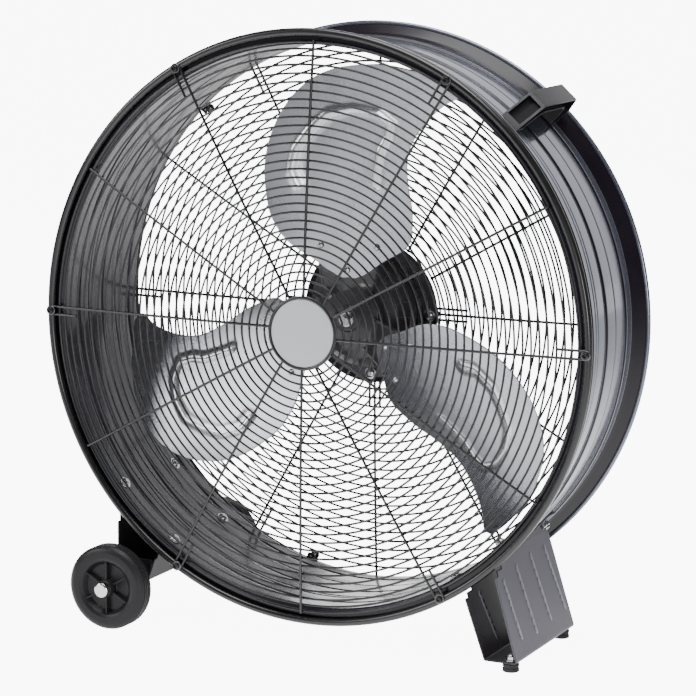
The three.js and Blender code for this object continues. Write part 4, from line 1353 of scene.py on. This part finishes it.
@dataclass
class Bracket(SubAssembly):
    """Folded sheet bracket bolted under the drum.

    Attributes:
        name: name of the sheet.
        node: CAD node that it stands for.
        finish: its paint.
        path: section of the sheet in X and Z, from the inner to the outer panel.
        fold: radius of the folds.
        ends: lowest and highest Y of the sheet.
        lean: how far the ends shift in Y per millimetre of height.
        ribs: pressed ribs, each as the top and bottom (y, z) and the panel's number.
        bolt_angles: where its bolts sit round the drum.
        bolts: start of its bolts' names in CAD.
        sheet: thickness of the sheet.
    """

    # Distances behind the front rim: start and end of the rolled edge, and of the wall.
    ROLL, ROLL_END, WALL, WALL_END = 3.0, 20.0, 24.0, 203.0
    # Radii that clear the front rim, the rolled edge and the wall, and the flare's slope.
    RIM_CLEAR, ROLL_CLEAR, WALL_CLEAR, FLARE_SLOPE = 419.0, 412.5, WALL_R + 1.6, 1.1
    # Height at which a leaning end has not shifted.
    UNMOVED_Z = 130.0
    RIB_HEIGHT = 1.5

    name: str = ""
    node: str = ""
    finish: Finish = BRACKET_PAINT
    path: Sequence[Point] = ()
    fold: float = 3.0
    ends: Point = (-127.0, 84.0)
    lean: Point = (0.0, 0.0)
    ribs: Sequence[tuple[Point, Point, int]] = ()
    bolt_angles: Sequence[float] = ()
    bolts: str = ""
    sheet: float = 2.0

    def reach(self, y: float) -> float:
        """How near the fan's axis the sheet comes at a place along the drum."""
        behind = y - FRONT_Y
        if behind < self.ROLL:
            return self.RIM_CLEAR
        if behind < self.WALL:
            share = max(behind - self.ROLL_END, 0.0) / (self.WALL - self.ROLL_END)
            return self.ROLL_CLEAR + (self.WALL_CLEAR - self.ROLL_CLEAR) * share
        return self.WALL_CLEAR + max(behind - self.WALL_END, 0.0) * self.FLARE_SLOPE

    def trim(self, inside: Point, outside: Point, limit: float) -> Vector:
        """Where the side from a far point to a near one meets the limit radius.

        Args:
            inside: end of the side that is nearer to the fan's axis.
            outside: other end.
            limit: radius about the fan's axis.

        Returns:
            The meeting point in X and Z.
        """
        near, far = Vector(inside), Vector(outside)
        centre = Vector((AXIS.x, AXIS.z))
        for _ in range(30):
            half = (near + far) / 2
            if (half - centre).length < limit:
                near = half
            else:
                far = half
        return far

    def section(self, y: float) -> list[Vector]:
        """Rounded section of the sheet at a place along the drum."""
        limit = self.reach(y)
        first = self.trim(self.path[0], self.path[1], limit)
        last = self.trim(self.path[-1], self.path[-2], limit)
        line = [tuple(first), *self.path[1:-1], tuple(last)]
        return [Vector(point) for point in fillet(line, self.fold, steps=5)]

    def rib_lift(self, y: float, z: float, panel: int) -> float:
        """Height of the pressed ribs at a point of a panel."""
        here = Vector((y, z))
        lift = 0.0
        for top, bottom, number in self.ribs:
            if number == panel:
                near = capsule(here, Vector(top), Vector(bottom))
                lift = max(lift, self.RIB_HEIGHT * smooth_step(1 - near / 2.6))
        return lift

    def build_sheet(self) -> None:
        """Makes the folded sheet with its pressed ribs."""
        step = 1.5
        span = self.ends[1] - self.ends[0]
        rows = int(span / step)
        edges = (self.ROLL, self.ROLL_END, self.WALL, self.WALL_END)
        stations = sorted([self.ends[0] + span * k / rows for k in range(rows + 1)]
                          + [FRONT_Y + e + d for e in edges for d in (-0.05, 0.05)])
        stations = [y for y in stations if self.ends[0] <= y <= self.ends[1]]
        points: list[Vector] = []
        width = 0
        for y in stations:
            line = self.section(y)
            sides = list(zip(line, line[1:]))
            row: list[Vector] = []
            for number, (start, end) in enumerate(sides):
                long_side = number in (0, len(sides) // 2, len(sides) - 1)
                parts = 60 if long_side else 1
                normal = Vector((end - start).yx) * Vector((1, -1))
                normal.normalize()
                panel = 0 if number == 0 else (2 if number == len(sides) - 1 else 1)
                for k in range(parts):
                    at = start + (end - start) * k / parts
                    lift = self.rib_lift(y, at.y, panel) if long_side else 0.0
                    row.append(self.leaned(at + normal * lift, y))
            row.append(self.leaned(line[-1], y))
            width = len(row)
            points += row
        piece = make_mesh(self.name, points, lattice(len(stations), width), 40)
        self.fit(thicken(piece, self.sheet), self.finish, self.node)
        self.paint_details(piece)

    def paint_details(self, piece: bpy.types.Object) -> None:
        """Paints what differs from the outer panel; a plain bracket has nothing."""

    def tilt(self, y: float, z: float) -> float:
        """How far the lean of the ends shifts a point in Y."""
        low, high = self.ends
        share = (y - low) / (high - low)
        return (self.lean[0] * (1 - share) + self.lean[1] * share) * (self.UNMOVED_Z - z)

    def leaned(self, at: Vector, y: float) -> Vector:
        """Puts a section point in the row frame, with its end leant by its height."""
        return Vector((at.x, y + self.tilt(y, at.y), at.y))

    def build_bolts(self) -> None:
        """Makes the tabs on the drum with their bolts, washers and nuts."""
        inside = WALL_R - 1.2
        head = [(0, inside - 6.4), (3.5, inside - 6), (6.4, inside - 4), (6.8, inside - 1.5),
                (9, inside - 1.4), (9, inside), (4, inside), (4, 401), (0, 401)]
        for i, angle in enumerate(self.bolt_angles):
            for number in (i * 2 + 1, i * 2 + 2):
                node = f"{self.bolts}_{number}"
                y = middle(node).y
                tab = grid(f"{self.name}_tab_{number}", lambda u, v: polar(
                    WALL_R + 2.6, angle + 5.4 * (u - 0.5), y + 26 * (v - 0.5)), 12, 6, 2.4)
                self.fit(tab, self.finish)
                place = radial_place(angle, y)
                self.turned(f"{self.name}_bolt_{number}", head, 0.6, 36, place, ZINC, node)
                nut = prism(f"{self.name}_nut_{number}", hexagon(7.2), WALL_R + 4, WALL_R + 10,
                            place @ spin(-90, "X"), 0.8)
                self.fit(nut, ZINC)

    def build(self) -> None:
        """Makes the whole bracket."""
        self.build_sheet()
        self.build_bolts()


class FootBracket(Bracket):
    """Foot bracket: a pale outer panel with a painted highlight on its ribs, and painted shade
    on the inner panel.
    """

    def paint_details(self, piece: bpy.types.Object) -> None:
        """Paints a highlight on the rib crests, and paints shade on the inner panel and on the
        foot's plate under the bracket.
        """
        self.paint_more(piece, BRACKET_RIB_HIGHLIGHT, BRACKET_SHADED_INSIDE)
        for face in piece.data.polygons:
            centre = face.center / MM
            outer = centre.x > self.path[1][0] + 10
            y = centre.y - self.tilt(centre.y, centre.z)
            # Painted highlight on the rib crests; painted shade on the inner panel and on the
            # plate.
            if self.rib_lift(y, centre.z, 2 if outer else 0) > 0.1:
                face.material_index = 1
            elif not outer or centre.z < 18:
                face.material_index = 2


class WheelBracket(Bracket):
    """Wheel bracket: the folded sheet plus the two ears that hold the axle."""

    def build_ears(self) -> None:
        """Makes the end ears with a raised collar round the axle."""
        outline = fillet([(-250, 65), (-297, 43), (-297, 94), (-242, 94)], 4, True)
        low, high = self.ends
        for end, (start, stop) in {"front": (low, low + 2), "rear": (high - 2, high)}.items():
            ear = prism(f"wheel_bracket_ear_{end}", outline, -stop, -start, UPRIGHT, 0.5)
            self.fit(ear, self.finish)
            collar = [(6.3, start - 1.2), (10, start - 1.2), (10, stop + 1.2),
                      (6.3, stop + 1.2)]
            self.turned(f"axle_collar_{end}", collar, 0.6, 40, shift(AXLE.x, 0, AXLE.z), ZINC)

    def build(self) -> None:
        """Makes the bracket and its ears."""
        super().build()
        self.build_ears()


@dataclass
class Foot(SubAssembly):
    """Rubber foot with its bolt.

    Attributes:
        end: end of the foot bracket that it stands under, front or rear.
    """

    end: str = "front"

    def build(self) -> None:
        """Makes the pad and the bolt through the bracket's plate."""
        node = f"rubber_foot_{self.end}"
        at, top = middle(node), corners(node)[1].z
        place = shift(at.x, at.y, 0) @ STANDING
        pad = [(0, 0), (10.6, 0), (11.5, 1), (11.2, 5), (10.4, 5.6), (10.4, 6.8), (11.2, 7.4),
               (11.5, top - 1.5), (10, top), (0, top)]
        self.turned(f"foot_pad_{self.end}", pad, 0.6, 48, place, RUBBER, node)
        top = corners(f"foot_bolt_{self.end}")[1].z
        washer = [(0, top - 9), (8.6, top - 9), (8.6, top - 7.6), (0, top - 7.6)]
        self.turned(f"foot_washer_{self.end}", washer, 0.3, 40, place, ZINC)
        nut = prism(f"foot_nut_{self.end}", hexagon(7.4, 0.3), top - 7.6, top - 2.4,
                    shift(at.x, at.y, 0), 0.9)
        self.fit(nut, ZINC)
        stud = [(0, 4), (4, 4), (4, top - 0.8), (3, top), (0, top)]
        self.turned(f"foot_stud_{self.end}", stud, 0.5, 28, place, ZINC, f"foot_bolt_{self.end}")


@dataclass
class Wheel(SubAssembly):
    """Moulded wheel with ribs and a grooved tread.

    Attributes:
        end: front or rear.
        radius: of the tread.
        width: of the tread.
        grooves: how many grooves the tread has.
    """

    end: str = "front"
    radius: float = 60.0
    width: float = 31.0
    grooves: int = 4

    def place(self) -> Matrix:
        """Matrix with the outer face at local Y 0 and the inner face at the width."""
        low, high = corners(f"{self.end}_wheel")
        if self.end == "front":
            return shift(AXLE.x, low.y + 5, AXLE.z)
        return shift(AXLE.x, high.y - 5, AXLE.z) @ spin(180, "Z")

    def profile(self) -> list[Point]:
        """Section of the wheel from the bore round to the inner face."""
        r, w = self.radius, self.width
        face = fillet([(6.4, -4.5), (11.5, -4.5), (12.5, 10), (33, 10), (38.5, 2.2),
                       (43, 0.4), (51, 0.4), (54, 1.4), (r - 3.6, 2.6), (r - 0.4, 6)], 2.4)
        tread: list[Point] = []
        for k in range(self.grooves):
            y = 8 + (w - 16) * k / (self.grooves - 1)
            tread += [(r, y - 1.6), (r - 2, y - 0.8), (r - 2, y + 0.8), (r, y + 1.6)]
        back = fillet([(r - 0.4, w - 6), (r - 4, w - 1), (40, w), (34, w - 6), (14, w - 6),
                       (12, w + 2), (6.4, w + 2)], 2)
        return face + tread + back

    def build(self) -> None:
        """Makes the wheel and its ribs."""
        self.body = f"{self.end}_wheel_body"
        place = self.place()
        wheel = lathe(f"{self.end}_wheel_moulding", self.profile(), 128, place, 50)
        self.fit(wheel, WHEEL, f"{self.end}_wheel")
        outline = [(11, -1.3), (37, -1.0), (37, 1.0), (11, 1.3)]
        for k in range(6):
            turn = place @ spin(60 * k + 30) @ UPRIGHT
            rib = prism(f"{self.end}_wheel_rib_{k + 1}", outline, -12, -2.5, turn, 0.5)
            self.fit(rib, WHEEL)


@dataclass
class Axle(SubAssembly):
    """Fixed axle with a cap at each end."""

    def build(self) -> None:
        """Makes the caps and dresses the axle."""
        self.keep("wheel_axle", ZINC)
        dome = [(0, -8), (8.4, -8), (10.4, -6.6), (10.9, -1), (10.9, 0), (0, 0)]
        for end in ("front", "rear"):
            low, high = corners(f"axle_cap_{end}")
            front = end == "front"
            place = shift(AXLE.x, high.y if front else low.y, AXLE.z) @ spin(
                0 if front else 180, "Z")
            self.turned(f"cap_{end}", dome, 1.2, 56, place, ZINC, f"axle_cap_{end}")


@dataclass
class Knob(SubAssembly):
    """Speed knob on the back of the switch box."""

    body: str = "knob"

    def build(self) -> None:
        """Makes the skirt, the grip and the pointer line."""
        start = corners("speed_knob")[0].y + 12
        skirt = [(0, -12), (3.8, -12), (3.8, 0), (18, 0), (18, 3.6), (15.4, 6), (0, 6)]
        self.turned("knob_skirt", skirt, 1.2, 72, on_axis(start), SWITCH, "speed_knob")
        outline = fillet([(-3.4, -14), (3.4, -14), (3.4, 13.4), (0, 16), (-3.4, 13.4)], 1.5,
                         True)
        upright = on_axis() @ UPRIGHT
        grip = prism("knob_grip", outline, -start - 15, -start - 5, upright, 1.2)
        self.fit(grip, SWITCH)
        line = prism("knob_pointer", [(-0.6, 3), (0.6, 3), (0.6, 12), (-0.6, 12)],
                     -start - 15.2, -start - 14.4, upright)
        self.fit(line, BADGE)


class Studio:
    """Floor, light and camera.

    The floor and the room glow for the camera, which keeps them pale without flooding the
    paint. Reflections see a little of the floor's glow, in a pool round the fan.
    """

    GLOW = 13.0
    ROOM_LIGHT = 0.16
    CAMERA_SHARE = 0.72
    # Start and end of the pool in metres, and the share of the glow at each.
    POOL = (0.5, 2.0, 0.12, 0.02)
    FLOOR_RINGS = (60.0, 400.0, 1200.0, 3000.0, 8000.0, 20000.0, 40000.0)
    FLOOR_SIDES = 64
    # Place, size and power of each soft box.
    LAMPS = {"overhead": ((0.2, -0.6, 3.6), 2.6, 150.0),
             "key": ((-3.3, -2.7, 2.1), 2.0, 84.0),
             "front right": ((3.2, -4.0, 0.5), 1.3, 60.0),
             "rear left": ((-1.8, 4.0, 0.9), 1.4, 25.0),
             "backdrop": ((0.6, 4.6, 1.9), 4.4, 66.0)}
    LAMP_TARGET = Vector((0, 0, 0.42))
    EYE = Vector((1.66064, -3.51652, 1.07274))
    VIEW_TARGET = Vector((0.05974, -0.124, 0.42197))
    LENS, SENSOR = 146.0, 36.0
    ROLL = math.radians(0.41)

    def floor_material(self) -> bpy.types.Material:
        """Gives the floor's material, part paint and part glow."""
        material = bpy.data.materials.new("studio floor")
        material.use_nodes = True
        nodes = Nodes(material.node_tree)
        shader = material.node_tree.nodes["Principled BSDF"]
        for label, value in {"Base Color": (0.86, 0.86, 0.87, 1), "Roughness": 0.9,
                             "Specular IOR Level": 0.1}.items():
            nodes.feed(shader.inputs[label], value)
        glow = nodes.add("ShaderNodeEmission", Strength=self.GLOW)
        path = nodes.add("ShaderNodeLightPath")
        away = nodes.add("ShaderNodeVectorMath", operation="LENGTH")
        nodes.feed(away.inputs[0], nodes.add("ShaderNodeNewGeometry").outputs["Position"])
        pool = nodes.remap(away.outputs["Value"], *self.POOL)
        share = nodes.maths(
            "ADD", nodes.maths("MULTIPLY", path.outputs["Is Camera Ray"], self.CAMERA_SHARE),
            nodes.maths("MULTIPLY", path.outputs["Is Glossy Ray"], pool))
        blend = nodes.add("ShaderNodeMixShader", Fac=share)
        nodes.feed(blend.inputs[1], shader.outputs[0])
        nodes.feed(blend.inputs[2], glow.outputs[0])
        nodes.feed(material.node_tree.nodes["Material Output"].inputs["Surface"],
                   blend.outputs[0])
        return material

    def build_floor(self) -> None:
        """Makes a plain pale floor."""
        sides = self.FLOOR_SIDES
        points = [Vector((0, 0, 0))]
        faces: list[list[int]] = []
        for j, radius in enumerate(self.FLOOR_RINGS):
            for k in range(sides):
                turn = 2 * math.pi * k / sides
                points.append(Vector((radius * math.cos(turn), radius * math.sin(turn), 0)))
                a, b = 1 + j * sides + k, 1 + j * sides + (k + 1) % sides
                faces.append([0, a, b] if j == 0 else [a, b, b - sides, a - sides])
        floor = make_mesh("studio_floor", points, faces)
        floor.data.materials.append(self.floor_material())

    def build_lights(self) -> None:
        """Hangs soft boxes round the fan in a bright even room."""
        world = bpy.data.worlds.new("studio")
        world.use_nodes = True
        nodes = Nodes(world.node_tree)
        seen = nodes.add("ShaderNodeLightPath").outputs["Is Camera Ray"]
        backdrop = world.node_tree.nodes["Background"]
        nodes.feed(backdrop.inputs["Color"], (1, 1, 1, 1))
        nodes.feed(backdrop.inputs["Strength"],
                   nodes.remap(seen, 0, 1, self.ROOM_LIGHT, self.GLOW))
        bpy.context.scene.world = world
        for name, (where, size, power) in self.LAMPS.items():
            data = bpy.data.lights.new(f"{name} soft box", "AREA")
            data.size = size
            data.energy = power
            lamp = add_object(f"{name} soft box", data)
            lamp.visible_camera = False
            aim = self.LAMP_TARGET - Vector(where)
            lamp.matrix_world = (Matrix.Translation(where)
                                 @ aim.to_track_quat("-Z", "Y").to_matrix().to_4x4())

    def build_camera(self) -> None:
        """Sets the camera in front and to the right of the fan."""
        data = bpy.data.cameras.new("view")
        data.lens = self.LENS
        data.sensor_width = self.SENSOR
        forward = (self.VIEW_TARGET - self.EYE).normalized()
        right = forward.cross(Vector((0, 0, 1))).normalized()
        up = right.cross(forward)
        across = right * math.cos(self.ROLL) + up * math.sin(self.ROLL)
        upward = up * math.cos(self.ROLL) - right * math.sin(self.ROLL)
        camera = add_object("view", data)
        camera.matrix_world = Matrix.Translation(self.EYE) @ Matrix(
            (across, upward, -forward)).transposed().to_4x4()
        bpy.context.scene.camera = camera

    def build(self) -> None:
        """Makes the whole studio."""
        self.build_floor()
        self.build_lights()
        self.build_camera()


def build_stand(shop: FinishShop) -> None:
    """Makes both brackets, the feet, the axle and the wheels."""
    FootBracket(
        shop, name="foot_bracket_sheet", node="foot_bracket", finish=BRACKET_PAINT,
        path=((222, 146), (266, 13.3), (312, 13.3), (266, 190)), ends=(-131.0, 76.0),
        lean=(0.05, 0.13), bolt_angles=(-44.0, -56.4), bolts="foot_bracket_bolt",
        ribs=(((-108, 121), (-96, 40), 2), ((-57, 129), (-46, 36), 2), ((-3, 134), (8, 41), 2),
              ((49, 133), (62, 44), 2), ((-85, 93), (-76, 31), 0))).build()
    WheelBracket(
        shop, name="wheel_bracket_sheet", node="wheel_bracket", finish=WHEEL_BRACKET_PAINT,
        path=((-224, 137), (-250, 64), (-297, 43), (-297, 220)), ends=(-127.0, 84.0),
        bolt_angles=(-140.7, -124.6), bolts="wheel_bracket_bolt",
        ribs=(((-70, 106), (-66, 72), 0),)).build()
    Axle(shop).build()
    for end in ("front", "rear"):
        Foot(shop, end=end).build()
        Wheel(shop, end=end).build()


def main() -> None:
    """Builds the fan in order."""
    logging.basicConfig(level=logging.INFO, format="%(name)s: %(message)s")
    shop = FinishShop()
    Drum(shop).build()
    FrontGuard(shop).build()
    RearGuard(shop).build()
    Motor(shop).build()
    Rotor(shop).build()
    Handle(shop).build()
    build_stand(shop)
    Knob(shop).build()
    Studio().build()


if __name__ == "__main__":
    main()
